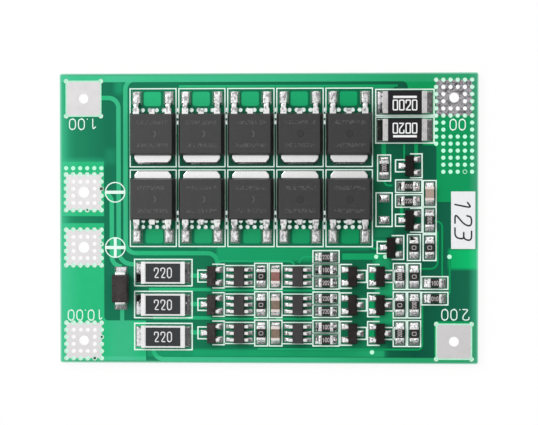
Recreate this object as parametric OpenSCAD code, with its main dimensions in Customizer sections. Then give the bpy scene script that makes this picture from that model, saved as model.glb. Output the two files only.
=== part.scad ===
// Battery management board for a pack of cells in series.
// A green laminate carries two rows of power transistors, two current shunts,
// three bleeder resistors, one control lane per cell and six plated terminals.
// Origin: centre of the underside. +X runs along the length, +Z to the parts.

/* [Board] */
// Length of the board; it grows when the parts need more
board_l = 60; // [60:0.5:90]
// Width of the board; it grows when the parts need more
board_w = 41.6; // [41.6:0.1:70]
// Thickness of the laminate
board_t = 1.2; // [0.6:0.1:2.4]
// Radius of the laminate's corners
board_r = 0.35; // [0.1:0.05:2]

/* [Copper] */
// Height of a tinned land above the laminate
land_t = 0.06; // [0.04:0.01:0.15]
// Height of the covered copper above the laminate
copper_t = 0.04; // [0.02:0.01:0.1]
// Distance from the covered copper to the board's edge
copper_margin = 0.3; // [0.2:0.05:0.8]
// Width of a supply track
track_w = 0.64; // [0.4:0.02:0.8]
// Width of a signal track
signal_w = 0.34; // [0.2:0.02:0.5]
// Radius of a track's bends, on the centre line
bend_r = 1.45; // [0.8:0.05:2]
// Finished hole of a via
via_d = 0.6; // [0.3:0.05:0.7]
// Thickness of the plating inside a hole
plating_t = 0.04; // [0.02:0.01:0.08]

/* [Terminals] */
// Side of a square terminal land
term_side = 5.1; // [4:0.1:8]
// Distance from a terminal land to the end of the board
term_margin = 0.9; // [0.5:0.1:3]
// Distance from the upper tap lands to the upper edge
tap_top = 1.05; // [0.6:0.05:3]
// Distance from the lower tap lands to the lower edge
tap_bottom = 0.65; // [0.5:0.05:3]
// Space between the lower left tap land and the positive land
tap_to_power = 8.3; // [4:0.1:12]
// Space between the positive land and the negative land
power_space = 2.85; // [1.5:0.05:6]
// Vias along one side of a filled terminal land
term_vias = 6; // [4:1:7]
// Wire hole of a power terminal
power_hole_d = 1.6; // [1:0.1:2.4]
// Wire hole of a tap terminal
tap_hole_d = 1.4; // [0.8:0.1:2]

/* [Power transistors] */
// Width of a moulded body
fet_w = 6.6; // [5:0.1:9]
// Length of a moulded body
fet_l = 6.1; // [5:0.1:9]
// Height of a moulded body above its land
fet_h = 2.3; // [1.9:0.1:4]
// Space between neighbouring bodies
fet_space = 0.43; // [0.2:0.01:2]
// How far a long side of the body leans in below its top edge
fet_draft = 0.38; // [0.1:0.02:0.6]
// How far an end of the body leans in below its top edge
fet_end_draft = 0.26; // [0.1:0.02:0.6]
// Width of the metal tab
fet_tab_w = 5.3; // [4:0.1:5.5]
// Length of the tab outside the body
fet_tab_out = 0.95; // [0.7:0.05:2.5]
// Reach of the land in front of an upper transistor's tab
fet_tab_fillet = 0.35; // [0.2:0.05:0.6]
// Thickness of the tab and of the leads
fet_metal_t = 0.5; // [0.3:0.05:0.6]
// Distance from the body's centre line to a lead
fet_lead_x = 2.29; // [1.9:0.01:2.4]
// Width of a lead at its foot
fet_lead_w = 0.7; // [0.5:0.05:0.9]
// Reach of a lead outside the body
fet_lead_out = 3.05; // [2.4:0.05:4]
// Height of a lead's underside where it leaves the body
fet_lead_z = 0.95; // [0.7:0.05:1.1]
// Space between the tabs of the two rows
fet_row_space = 1.3; // [0.6:0.1:4]
// Space from the upper lead tips to the upper edge
top_lane = 2.65; // [2:0.05:8]
// Width of the track lane between the left terminals and the transistors
left_lane = 4.2; // [3.8:0.1:8]

/* [Wide chips] */
// Length of a shunt and of a bleeder resistor
wide_l = 6.3; // [5:0.1:8]
// Width of a shunt and of a bleeder resistor
wide_w = 3.2; // [2.4:0.1:4]
// Height of a shunt
shunt_h = 0.65; // [0.4:0.05:1.2]
// Length of a shunt's end terminal
shunt_end = 0.75; // [0.4:0.05:1.2]
// Height of a bleeder resistor
bleed_h = 0.6; // [0.4:0.05:1.2]
// Length of a bleeder's end cap
bleed_end = 0.55; // [0.3:0.05:1]
// Thickness of the resistive film on a bleeder
film_t = 0.03; // [0.02:0.01:0.08]
// Ceramic left bare around the film
film_rim = 0.27; // [0.1:0.01:0.5]
// Space between the two shunts
shunt_space = 0.75; // [0.4:0.05:2]
// Distance from the upper shunt to the upper edge
shunt_top = 2.65; // [2:0.05:6]
// Space between the last transistor and the shunts
shunt_lane = 1.48; // [1.3:0.02:4]
// Space between the shunts and the right terminals
shunt_to_term = 1.3; // [1:0.05:4]
// Space between neighbouring bleeders
bleed_space = 1.4; // [0.8:0.05:3]
// Distance from the lowest bleeder to the lower edge
bleed_bottom = 2.2; // [1.6:0.05:5]
// Space between the left terminals and the bleeders
bleed_lane = 5.78; // [5.4:0.02:9]

/* [Clamp diode] */
// Length of the diode's body
diode_l = 4; // [3:0.1:5]
// Width of the diode's body
diode_w = 2.4; // [1.8:0.1:3]
// Height of the diode above its lands
diode_h = 2.1; // [1.6:0.1:2.6]
// Width of the diode's leads
diode_lead_w = 1.45; // [1:0.05:1.6]
// Reach of a lead outside the diode's body
diode_lead_out = 0.4; // [0.3:0.05:0.8]

/* [Small parts] */
// Length of a small transistor's body, across its leads
small_l = 2.9; // [2.4:0.05:3.4]
// Width of a three-lead body, along its leads
small_w = 1.3; // [1:0.05:1.6]
// Reach from lead tip to lead tip of a three-lead part
small_span = 2.4; // [2.2:0.05:3]
// Width of a six-lead body, along its leads
six_w = 1.6; // [1.3:0.05:1.9]
// Reach from lead tip to lead tip of a six-lead part
six_span = 2.8; // [2.6:0.05:3.4]
// Height of a small body above its lands
small_h = 1.1; // [0.8:0.05:1.4]
// Clearance under a small body
small_standoff = 0.1; // [0.02:0.01:0.2]
// Spacing of the leads
lead_pitch = 0.95; // [0.8:0.01:1.05]
// Width of a small lead
lead_w = 0.42; // [0.3:0.02:0.5]
// Thickness of a small lead
lead_t = 0.14; // [0.1:0.01:0.2]
// Length of a chip resistor or chip capacitor
chip_l = 2; // [1.6:0.05:2.4]
// Width of a chip resistor or chip capacitor
chip_w = 1.25; // [0.8:0.05:1.5]
// Height of a chip resistor
chip_h = 0.5; // [0.3:0.05:0.8]
// Height of a chip capacitor
cap_h = 0.85; // [0.5:0.05:1.2]
// Length of a chip's end cap
chip_end = 0.38; // [0.2:0.02:0.5]
// Thickness of an end cap's metal
chip_metal = 0.03; // [0.02:0.01:0.06]
// How far a land runs out past the part's end
land_out = 0.6; // [0.3:0.05:0.9]

/* [Control lanes] */
// Distance from the lowest lane's chips to the lower edge
lane_bottom = 2.75; // [2.4:0.05:6]
// Space between the chips of one lane and the next
lane_space = 0.88; // [0.6:0.02:2]
// Space from a bleeder to the sensing transistor
gap_sense = 2.62; // [2.2:0.02:5]
// Space from the sensing transistor to the cell monitor
gap_monitor = 1.38; // [1.3:0.02:3]
// Space from the cell monitor to its filter resistor
gap_filter = 1.1; // [0.9:0.02:3]
// Space from the filter resistor to its capacitor
gap_cap = 0.83; // [0.5:0.01:3]
// Space from the capacitor to the second six-lead part
gap_second = 1.18; // [1:0.02:3]
// Space from the second six-lead part to the paired chips
gap_pair = 1.62; // [1.5:0.02:4]
// Space from the paired chips to the first output transistor
gap_out_a = 1.6; // [1.5:0.02:4]
// Space from the first to the second output transistor
gap_out_b = 1.55; // [1.3:0.02:4]
// Space from the second output transistor to the pull-down chips
gap_pull = 0.95; // [0.9:0.02:3]
// Space between the two pull-down chips
gap_pull_b = 0.8; // [0.5:0.02:3]
// Space from the pull-down chips to the end chips
gap_end = 1.31; // [1.2:0.02:4]
// Distance between the centres of two stacked chips
stack_pitch = 1.85; // [1.6:0.05:1.9]

/* [Current sensing cluster] */
// Space between the shunts and the upper transistor
drop_a = 2.05; // [1.9:0.05:4]
// Space between the upper transistor and the chip below it
drop_b = 0.83; // [0.5:0.01:3]
// Distance between the two chips in the middle
drop_c = 2.1; // [1.8:0.05:4]
// Space between the middle chips and the second transistor
drop_d = 0.68; // [0.5:0.01:3]
// Space between the second and the third transistor
drop_e = 1; // [0.8:0.05:3]
// Space between the cluster and the control lanes
drop_f = 1.05; // [0.9:0.05:4]

/* [Label] */
// Length of the sticker
label_l = 8.2; // [4:0.1:12]
// Width of the sticker
label_w = 3.45; // [2:0.05:5]
// Thickness of the sticker
label_t = 0.1; // [0.06:0.01:0.2]

/* [Hidden] */
$fn = 48;

eps = 0.01;
// Columns of power transistors, and control lanes
fet_columns = 5;
lanes = 3;
half_land = term_side / 2;
grid_pitch = term_side / (term_vias - 1);
via_r = via_d / 2;
barrel_r = via_r + plating_t;

// Heights: laminate underside, laminate top, top of the lands
z_under = land_t;
z_top = land_t + board_t;
z_part = z_top + land_t;

// Columns of the power section, from the left edge
land_right = term_margin + term_side;
fet_pitch = fet_w + fet_space;
fet_x0 = land_right + left_lane;
fet_end = fet_x0 + fet_columns * fet_pitch - fet_space;
shunt_x = fet_end + shunt_lane + wide_l / 2;
shunt_right = shunt_x + wide_l / 2;
function fet_x(i) = fet_x0 + fet_w / 2 + (i - 1) * fet_pitch;

// Columns of a control lane, from the left edge
bleed_x = land_right + bleed_lane + wide_l / 2;
sense_x = bleed_x + wide_l / 2 + gap_sense + small_span / 2;
monitor_x = sense_x + small_span / 2 + gap_monitor + six_span / 2;
filter_x = monitor_x + six_span / 2 + gap_filter + chip_w / 2;
cap_x = filter_x + chip_w + gap_cap;
second_x = cap_x + chip_w / 2 + gap_second + six_span / 2;
pair_x = second_x + six_span / 2 + gap_pair + chip_l / 2;
out_a_x = pair_x + chip_l / 2 + gap_out_a + small_span / 2;
out_b_x = out_a_x + small_span + gap_out_b;
pull_x = out_b_x + small_span / 2 + gap_pull + chip_w / 2;
pull_b_x = pull_x + chip_w + gap_pull_b;
end_x = pull_b_x + chip_w / 2 + gap_end + chip_l / 2;

// Rows, from the lower edge
lane_part = max(small_l, chip_l + 2 * land_out);
lane_pitch = lane_part + lane_space;
lanes_top = lane_bottom + lanes * lane_pitch - lane_space;
function lane_y(k) = lane_bottom + lane_part / 2 + (k - 1) * lane_pitch;
bleed_pitch = wide_w + bleed_space;
bleed_top = bleed_bottom + lanes * bleed_pitch - bleed_space;
function bleed_y(k) = bleed_bottom + wide_w / 2 + (k - 1) * bleed_pitch;
extra_y = lane_y(lanes) + 1.5 * stack_pitch;
lower_need = max(bleed_top + 2.6, extra_y + chip_w / 2 + 1.54);

// Depth of the sensing cluster, from the upper edge
shunt_pitch = wide_w + shunt_space;
cluster_top = shunt_top + wide_w + shunt_pitch;
cluster_need = cluster_top + drop_a + 3 * small_l + drop_b + chip_w
  + drop_c + drop_d + drop_e + drop_f;

// Size of the board in use
fet_length = fet_lead_out + fet_l + fet_tab_out;
need_l = max(shunt_right + shunt_to_term + land_right,
  pull_b_x + chip_w / 2 + 2.3 + land_right,
  end_x + chip_l / 2 + 5.1);
need_w = max(top_lane + 2 * fet_length + fet_row_space + lower_need,
  cluster_need + lanes_top,
  tap_bottom + tap_to_power + power_space + 3 * term_side + 1.2 * grid_pitch
  + 5.9 + term_side + tap_top);
L = max(board_l, need_l);
W = max(board_w, need_w);

// Terminals
left_x = term_margin + half_land;
right_x = L - left_x;
tap_high_y = W - tap_top - half_land;
tap_low_y = tap_bottom + half_land;
plus_y = tap_bottom + term_side + tap_to_power + half_land;
minus_y = plus_y + term_side + power_space;

// Transistor rows
fet_up_y = W - top_lane - fet_lead_out - fet_l / 2;
fet_low_y = fet_up_y - fet_l - 2 * fet_tab_out - fet_row_space;
tip_up_y = W - top_lane;
tip_low_y = fet_low_y - fet_l / 2 - fet_lead_out;

// Sensing cluster
shunt_a_y = W - shunt_top - wide_w / 2;
shunt_b_y = shunt_a_y - shunt_pitch;
c1_y = W - cluster_top - drop_a - small_l / 2;
c2_y = c1_y - small_l / 2 - drop_b - chip_w / 2;
c3_y = c2_y - drop_c;
c4_y = c3_y - chip_w / 2 - drop_d - small_l / 2;
c5_y = c4_y - small_l - drop_e;
ca_x = fet_end + shunt_lane + 0.2;
cb_x = ca_x + chip_w / 2 + 1.78 + small_span / 2;
cc_x = cb_x + small_span / 2 + 1.05 + chip_w / 2;
cd_x = ca_x - 0.2 + small_span / 2;
ce_x = cb_x + chip_w / 2 + 0.02;
spare_y = (c3_y + c4_y) / 2 + 0.2;

label_x = L - label_w / 2 - 0.42;
label_y = c4_y;

// ---------- positions ----------

// Small transistors of one lane: x, y, turned round (two leads on the left)
function lane_small(k) = [
  [sense_x, lane_y(k), 0],
  [out_a_x, lane_y(k), 1],
  [out_b_x, lane_y(k), 1]];
cluster_small = [[cb_x, c1_y, 0], [cb_x, c4_y, 0], [cd_x, c5_y, 0]];
all_small = concat([for (k = [1:lanes]) each lane_small(k)], cluster_small);
six_leads = [for (k = [1:lanes]) each
  [[monitor_x, lane_y(k)], [second_x, lane_y(k)]]];

// Chip resistors: x, y, turned upright
lane_chips = [for (k = [1:lanes]) each [
  [filter_x, lane_y(k), 1],
  [pair_x, lane_y(k) + stack_pitch / 2, 0],
  [pair_x, lane_y(k) - stack_pitch / 2, 0],
  [pull_x, lane_y(k), 1],
  [pull_b_x, lane_y(k), 1]]];
end_chips = [for (k = [lanes - 1:lanes])
  [end_x, lane_y(k) + (k == lanes ? -1 : 1) * stack_pitch / 2, 0]];
cluster_chips = [
  [ca_x, c1_y - 0.3, 1],
  [cb_x - 0.1, c2_y, 0],
  [cb_x - 0.1, c3_y, 0],
  [cc_x, c4_y, 1],
  [ce_x, c5_y, 1],
  [cc_x, c5_y, 1]];
resistors = concat(lane_chips, [[pair_x, extra_y, 0]], end_chips,
  cluster_chips);
capacitors = concat([for (k = [1:lanes]) [cap_x, lane_y(k), 1]],
  [[cc_x, (c2_y + c3_y) / 2, 1]]);

// Vias of a filled terminal, around its wire hole
function ring_grid(hole_d) = [
  for (i = [0:term_vias - 1], j = [0:term_vias - 1])
    let (p = [i - (term_vias - 1) / 2, j - (term_vias - 1) / 2] * grid_pitch)
      if (norm(p) > hole_d / 2 + via_r + 0.45) p];
function corners(s) = [for (i = [-1, 1], j = [-1, 1]) [i * s, j * s]];
tap_corners = corners(half_land - 0.05);

// Vias that the solder mask covers
supply_vias = [for (r = [1:8], c = [0:term_vias - 1])
  if (r < 3 ? (c < 2 || c == term_vias - 1) : (r < 5 || c > 0))
    [right_x + (c - (term_vias - 1) / 2) * grid_pitch,
     tap_high_y - half_land - r * 0.98 * grid_pitch]];
minus_vias = [for (c = [0:term_vias - 1])
  [left_x + (c - (term_vias - 1) / 2) * grid_pitch,
   minus_y + half_land + 0.9 * grid_pitch]];
fet_vias = [for (i = [1:fet_columns], s = [-1.5:1:1.5], e = [0, 1]) each
  [[fet_x(i) + s, fet_up_y + fet_l / 2 + 0.43 - e * 0.85],
   [fet_x(i) + s, fet_low_y - fet_l / 2 - 0.95 + e * 0.85]]];
between_vias = [for (i = [1:fet_columns - 1], e = [0:2]) each
  [[fet_x(i) + fet_pitch / 2, fet_up_y + fet_l / 2 + 0.45 - e * 0.9],
   [fet_x(i) + fet_pitch / 2, fet_low_y - fet_l / 2 - 0.95 + e * 1.02]]];
lone_vias = [
  [fet_end + 0.55, c5_y - 1.32],
  [ca_x + 0.15, c5_y - 1.32],
  [right_x - 0.65, c5_y - 1.32],
  [(out_a_x + out_b_x) / 2 + 0.8, lane_bottom - 1.1]];
covered_vias = concat(supply_vias, minus_vias, fet_vias, between_vias,
  lone_vias);

// ---------- plane figures, in board coordinates ----------

// Rectangle between two corners
module box2(x0, y0, x1, y1) {
  translate([x0, y0]) square([x1 - x0, y1 - y0]);
}

// Rectangle with rounded corners
module soft2(x0, y0, x1, y1, r) {
  box2(x0 + r, y0, x1 - r, y1);
  box2(x0, y0 + r, x1, y1 - r);
  for (x = [x0 + r, x1 - r], y = [y0 + r, y1 - r])
    translate([x, y]) circle(r = r);
}

// Quarter bend of a track around a centre, in the quadrant (sx, sy)
module bend2(x, y, r, w, sx, sy) {
  translate([x, y]) intersection() {
    difference() {
      circle(r = r + w / 2);
      circle(r = r - w / 2);
    }
    translate([sx > 0 ? 0 : -r - w, sy > 0 ? 0 : -r - w])
      square(r + w);
  }
}

module track_x(x0, x1, y, w) {
  box2(x0, y - w / 2, x1, y + w / 2);
}

module track_y(x, y0, y1, w) {
  box2(x - w / 2, y0, x + w / 2, y1);
}

// Fillet in an inner corner of a copper area, in the quadrant (sx, sy)
module fillet2(x, y, r, sx, sy) {
  difference() {
    box2(min(x, x + sx * r), min(y, y + sy * r),
      max(x, x + sx * r), max(y, y + sy * r));
    translate([x + sx * r, y + sy * r]) circle(r = r);
  }
}

module dots2(points, r) {
  for (p = points) translate(p) circle(r = r);
}

// Outline that a terminal takes from the copper and the laminate
module terminal_outline2(x, y, vias, hole_d) {
  translate([x - half_land, y - half_land]) square(term_side);
  translate([x, y]) dots2(vias, barrel_r);
}

module terminal_outlines2() {
  terminal_outline2(left_x, tap_low_y, ring_grid(tap_hole_d), tap_hole_d);
  terminal_outline2(left_x, plus_y, ring_grid(power_hole_d), power_hole_d);
  terminal_outline2(left_x, minus_y, ring_grid(power_hole_d), power_hole_d);
  terminal_outline2(left_x, tap_high_y, tap_corners, tap_hole_d);
  terminal_outline2(right_x, tap_high_y, ring_grid(tap_hole_d), tap_hole_d);
  terminal_outline2(right_x, tap_low_y, tap_corners, tap_hole_d);
}

// Lands of one part, in the part's own coordinates. The tab's land runs out
// by front before the tab, and the leads' lands by toe past the lead tips.
module fet_lands2(front, toe) {
  for (s = [-1, 1])
    translate([s * fet_lead_x - 0.7, fet_l / 2 + fet_lead_out - 1.8])
      square([1.4, 1.8 + toe]);
  translate([-fet_tab_w / 2 - 0.25, -fet_l / 2 - fet_tab_out - front])
    square([fet_tab_w + 0.5, fet_l + front - 0.2]);
}

module small_lands2() {
  for (p = [[-1, 0], [1, lead_pitch], [1, -lead_pitch]])
    translate([p[0] * (small_span / 2 - 0.1) - 0.5, p[1] - 0.45])
      square([1, 0.9]);
}

module six_lands2() {
  for (s = [-1, 1], j = [-1:1])
    translate([s * six_span / 2 - 0.55, j * lead_pitch - 0.3])
      square([1.1, 0.6]);
}

module two_lands2(l, w, end, out) {
  for (s = [-1, 1])
    translate([s * (l / 2 + (out - end - 0.1) / 2) - (out + end + 0.1) / 2,
      -w / 2])
      square([out + end + 0.1, w]);
}

module spare_lands2() {
  for (s = [-1, 1])
    translate([-0.75, s * 1.55 - 0.55]) square([1.5, 1.1]);
}

module all_lands2() {
  for (i = [1:fet_columns]) {
    translate([fet_x(i), fet_up_y]) fet_lands2(fet_tab_fillet, 0.05);
    translate([fet_x(i), fet_low_y]) mirror([0, 1])
      fet_lands2(fet_tab_fillet / 3, 0.25);
  }
  for (y = [shunt_a_y, shunt_b_y])
    translate([shunt_x, y]) two_lands2(wide_l, wide_w, shunt_end, 0.8);
  for (k = [1:lanes])
    translate([bleed_x, bleed_y(k)])
      two_lands2(wide_l, wide_w - 0.2, bleed_end, 0.8);
  translate([diode_x, diode_y]) rotate(90)
    two_lands2(diode_l, diode_lead_w + 0.3, 0.7, 1.1);
  for (p = all_small)
    translate([p[0], p[1]]) mirror([p[2], 0]) small_lands2();
  for (p = six_leads) translate(p) six_lands2();
  for (p = concat(resistors, capacitors))
    translate([p[0], p[1]]) rotate(90 * p[2])
      two_lands2(chip_l, chip_w + 0.05, chip_end, land_out);
  translate([ca_x, spare_y]) spare_lands2();
}

// ---------- solids in the part's own coordinates ----------

// Moulded body: w along x, l along y, from z0 to z1, parting line at zp
module moulded(w, l, z0, zp, z1, under, over, over_end) {
  intersection() {
    rotate([90, 0, 0]) translate([0, 0, -l]) linear_extrude(2 * l)
      polygon([[-w / 2 + under, z0], [w / 2 - under, z0], [w / 2, zp],
        [w / 2 - over, z1], [-w / 2 + over, z1], [-w / 2, zp]]);
    rotate([90, 0, 90]) translate([0, 0, -w]) linear_extrude(2 * w)
      polygon([[-l / 2 + under, z0], [l / 2 - under, z0], [l / 2, zp],
        [l / 2 - over_end, z1], [-l / 2 + over_end, z1], [-l / 2, zp]]);
  }
}

// Side view of a formed lead: out along +x from x0, down to a foot at x1
module formed2(x0, xb, x1, z, t, r) {
  box2(x0, z, xb - r, z + t);
  bend2(xb - r, z + t / 2 - r, r, t, 1, 1);
  box2(xb - t / 2, t / 2 + r, xb + t / 2, z + t / 2 - r);
  bend2(xb + r, t / 2 + r, r, t, -1, -1);
  box2(xb + r, 0, x1, t);
}

module fet_slug() {
  y_end = -fet_l / 2 - fet_tab_out;
  linear_extrude(fet_metal_t)
    polygon([[-fet_tab_w / 2, fet_l / 2 - 0.9],
      [-fet_tab_w / 2, y_end + 0.55], [-fet_tab_w / 2 + 0.45, y_end],
      [fet_tab_w / 2 - 0.45, y_end], [fet_tab_w / 2, y_end + 0.55],
      [fet_tab_w / 2, fet_l / 2 - 0.9]]);
  translate([-0.4, fet_l / 2 - 1.5, fet_metal_t - eps])
    cube([0.8, 0.5, fet_lead_z + eps]);
  translate([-0.4, fet_l / 2 - 1.5, fet_lead_z])
    cube([0.8, 2.1, fet_metal_t]);
}

module fet_lead() {
  r = 0.3;
  rotate([90, 0, 90]) translate([0, 0, -fet_lead_w / 2])
    linear_extrude(fet_lead_w)
      formed2(fet_l / 2 - 0.9, fet_l / 2 + 1.25, fet_l / 2 + fet_lead_out,
        fet_lead_z, fet_metal_t, r);
  translate([-fet_lead_w / 2 - 0.1, fet_l / 2 - 0.9, fet_lead_z])
    cube([fet_lead_w + 0.2, 1.55, fet_metal_t]);
}

module fet_frame() {
  fet_slug();
  for (s = [-1, 1]) translate([s * fet_lead_x, 0, 0]) fet_lead();
}

module fet_body() {
  difference() {
    moulded(fet_w, fet_l, 0, fet_metal_t, fet_h, 0.05, fet_draft,
      fet_end_draft);
    fet_frame();
  }
}

module small_body(w) {
  moulded(w, small_l, small_standoff, small_h / 2 + 0.05, small_h, 0.06,
    0.1, 0.1);
}

// Small formed lead out to +x from the body's side
module small_lead(w, span) {
  z = small_h / 2 - lead_t / 2 + 0.05;
  xb = w / 2 + (span - w) * 0.4;
  rotate([90, 0, 0]) translate([0, 0, -lead_w / 2]) linear_extrude(lead_w)
    polygon([[w / 2 - 0.2, z], [xb - lead_t, z], [xb, 0], [span / 2, 0],
      [span / 2, lead_t], [xb + lead_t * 0.8, lead_t], [xb, z + lead_t],
      [w / 2 - 0.2, z + lead_t]]);
}

module small_leads() {
  rotate(180) small_lead(small_w, small_span);
  for (s = [-1, 1])
    translate([0, s * lead_pitch, 0]) small_lead(small_w, small_span);
}

module six_leads_one() {
  for (a = [0, 180], s = [-1:1])
    rotate(a) translate([0, s * lead_pitch, 0]) small_lead(six_w, six_span);
}

// Ceramic core of a chip, between and inside its end caps
module chip_core(l, w, h) {
  m = chip_metal;
  translate([-l / 2 + m, -w / 2 + m, m])
    cube([l - 2 * m, w - 2 * m, h - 2 * m]);
}

module chip_caps(l, w, h, end) {
  difference() {
    for (s = [0, 1])
      mirror([s, 0, 0]) translate([-l / 2, -w / 2, 0]) cube([end, w, h]);
    chip_core(l, w, h);
  }
}

module wide_block(l, w, h) {
  translate([-l / 2, -w / 2, 0]) cube([l, w, h]);
}

diode_x = bleed_x - wide_l / 2 - 1.75 - diode_w / 2;
diode_y = lane_bottom + 8;

// Side view of a diode lead: out of the body, down and back under it
module diode_lead2() {
  t = 0.2;
  r = 0.2;
  x1 = diode_l / 2 + diode_lead_out - t / 2;
  zm = diode_h / 2;
  box2(diode_l / 2 - 0.4, zm - t / 2, x1 - r, zm + t / 2);
  bend2(x1 - r, zm - r, r, t, 1, 1);
  box2(x1 - t / 2, r + t / 2, x1 + t / 2, zm - r);
  bend2(x1 - r, r + t / 2, r, t, 1, -1);
  box2(diode_l / 2 - 0.7, 0, x1 - r, t);
}

module diode_pair() {
  for (a = [90, 270])
    rotate(a) rotate([90, 0, 0]) translate([0, 0, -diode_lead_w / 2])
      linear_extrude(diode_lead_w) diode_lead2();
}

// ---------- placing ----------

module on_board(z) {
  translate([-L / 2, -W / 2, z]) children();
}

module at_fet(i, upper) {
  on_board(z_part) translate([fet_x(i), upper ? fet_up_y : fet_low_y, 0])
    rotate(upper ? 0 : 180) children();
}

module at_chips(list) {
  on_board(z_part)
    for (p = list) translate([p[0], p[1], 0]) rotate(90 * p[2]) children();
}

module at_small(list) {
  for (p = list) translate([p[0], p[1], 0]) rotate(180 * p[2]) children();
}

// Plated terminal: two lands, the wire hole and the vias around it
module terminal(x, y, vias, hole_d) {
  hole_r = hole_d / 2;
  color("silver") on_board(0) translate([x, y, 0]) difference() {
    union() {
      for (z = [0, z_top])
        translate([-half_land, -half_land, z])
          cube([term_side, term_side, land_t]);
      cylinder(h = z_part, r = hole_r + plating_t);
      linear_extrude(z_part) dots2(vias, barrel_r);
    }
    translate([0, 0, -1]) {
      cylinder(h = z_part + 2, r = hole_r);
      linear_extrude(z_part + 2) dots2(vias, via_r);
    }
  }
}

// ---------- sub-parts ----------

module wiring_board() {
  color("seagreen") on_board(z_under) linear_extrude(board_t) difference() {
    soft2(0, 0, L, W, board_r);
    dots2(covered_vias, via_r);
    for (t = [[left_x, tap_low_y], [right_x, tap_high_y]])
      translate(t) {
        dots2(ring_grid(tap_hole_d), barrel_r);
        circle(r = tap_hole_d / 2 + plating_t);
      }
    for (t = [[left_x, plus_y], [left_x, minus_y]])
      translate(t) {
        dots2(ring_grid(power_hole_d), barrel_r);
        circle(r = power_hole_d / 2 + plating_t);
      }
    for (t = [[left_x, tap_high_y], [right_x, tap_low_y]])
      translate(t) {
        dots2(tap_corners, barrel_r);
        circle(r = tap_hole_d / 2 + plating_t);
      }
  }
}

// Copper areas and supply tracks that the solder mask covers
module wide_copper2() {
  cm = copper_margin;
  xp = land_right + 0.4;
  yp = tap_bottom + term_side + 0.35;
  // Positive area, with the pocket for the diode
  box2(cm, cm, xp, plus_y + half_land + 0.95);
  box2(cm, cm, bleed_x - 2.5, yp);
  fillet2(xp, yp, 0.55, 1, 1);
  track_y(diode_x + 0.15, yp - 0.2, diode_y - diode_l / 2 - 0.8, 0.6);
  // Negative area
  box2(cm, plus_y + half_land + 1.95, xp, minus_y + half_land + 1.85);
  // Upper band and the supply area on the right
  xs = right_x - half_land + 0.05;
  ys = shunt_b_y - wide_w / 2 - 0.6;
  box2(cm, W - 1.25, L - cm, W - cm);
  box2(shunt_x + 0.4, W - 2.35, L - cm, W - cm);
  fillet2(shunt_x + 0.4, W - 1.25, 0.8, -1, -1);
  box2(shunt_right - 0.6, ys, L - cm, W - cm);
  fillet2(xs, ys, 0.55, -1, -1);
  box2(xs, label_y + 2.6, L - cm, W - cm);
  track_x(fet_x(2) - 3.3, shunt_x - 1, W - 1.85, 0.3);
  // Lower band, with the second tap's border
  y4 = 0.55;
  x4 = bleed_x + 0.05;
  bend2(x4, y4 + bend_r, bend_r, track_w, -1, -1);
  track_x(x4, right_x, y4, track_w);
  box2(right_x - half_land - 0.25, 0.25, L - cm, yp);
}

module supply_tracks2() {
  // Upper band, down the left lane, to the highest sensing part
  x1 = fet_x0 - 0.7;
  ya = W - 0.85 - bend_r;
  yb = tip_low_y - 0.2;
  bend2(x1 + bend_r, ya, bend_r, track_w, -1, 1);
  track_y(x1, yb, ya, track_w);
  bend2(x1 + bend_r, yb, bend_r, track_w, -1, -1);
  track_x(x1 + bend_r, sense_x - 0.6, yb - bend_r, track_w);
  bend2(sense_x - 0.6, yb - 2 * bend_r, bend_r, track_w, 1, 1);
  ys = lane_y(lanes) + 1.78;
  track_y(sense_x - 0.6 + bend_r, ys, max(yb - 2 * bend_r, ys) + 0.05, track_w);
  // Upper left tap, down the left lane, to the highest bleeder
  x2 = fet_x0 - 1.7;
  yc = tap_high_y + 0.1;
  yd = bleed_y(lanes) + 1.2;
  r2 = bend_r + 0.45;
  track_x(land_right, x2 - bend_r, yc, track_w);
  bend2(x2 - bend_r, yc - bend_r, bend_r, track_w, 1, 1);
  track_y(x2, yd + r2, yc - bend_r, track_w);
  bend2(x2 + r2, yd + r2, r2, track_w, -1, -1);
  track_x(x2 + r2, bleed_x - wide_l / 2, yd, track_w);
  // Negative area, down the left lane, to the diode
  x3 = fet_x0 - 2.7;
  ye = diode_y + diode_l / 2 + 1.1;
  r3 = bend_r - 0.4;
  track_x(land_right + 0.3, x3 - r3, minus_y - 0.3, track_w);
  bend2(x3 - r3, minus_y - 0.3 - r3, r3, track_w, 1, 1);
  track_y(x3, ye + bend_r, minus_y - 0.3 - r3, track_w);
  bend2(x3 + bend_r, ye + bend_r, bend_r, track_w, -1, -1);
  // Bleeders to the sensing parts, and the bands between the lanes
  for (k = [1:lanes])
    track_x(bleed_x + wide_l / 2 + 0.7, sense_x - small_span / 2 - 0.4,
      lane_y(k) + 0.05, track_w);
  for (k = [1:lanes - 1]) {
    y = (lane_y(k) + lane_y(k + 1)) / 2;
    track_x(bleed_x - 2.1 + (k == 1 ? 0.6 : 0), sense_x - 0.1, y + 0.1, 0.5);
    track_x(sense_x - 0.2, filter_x - 0.4, y, signal_w - 0.08);
    track_x(cap_x, pair_x - 1.6, y, signal_w - 0.08);
  }
}

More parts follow.
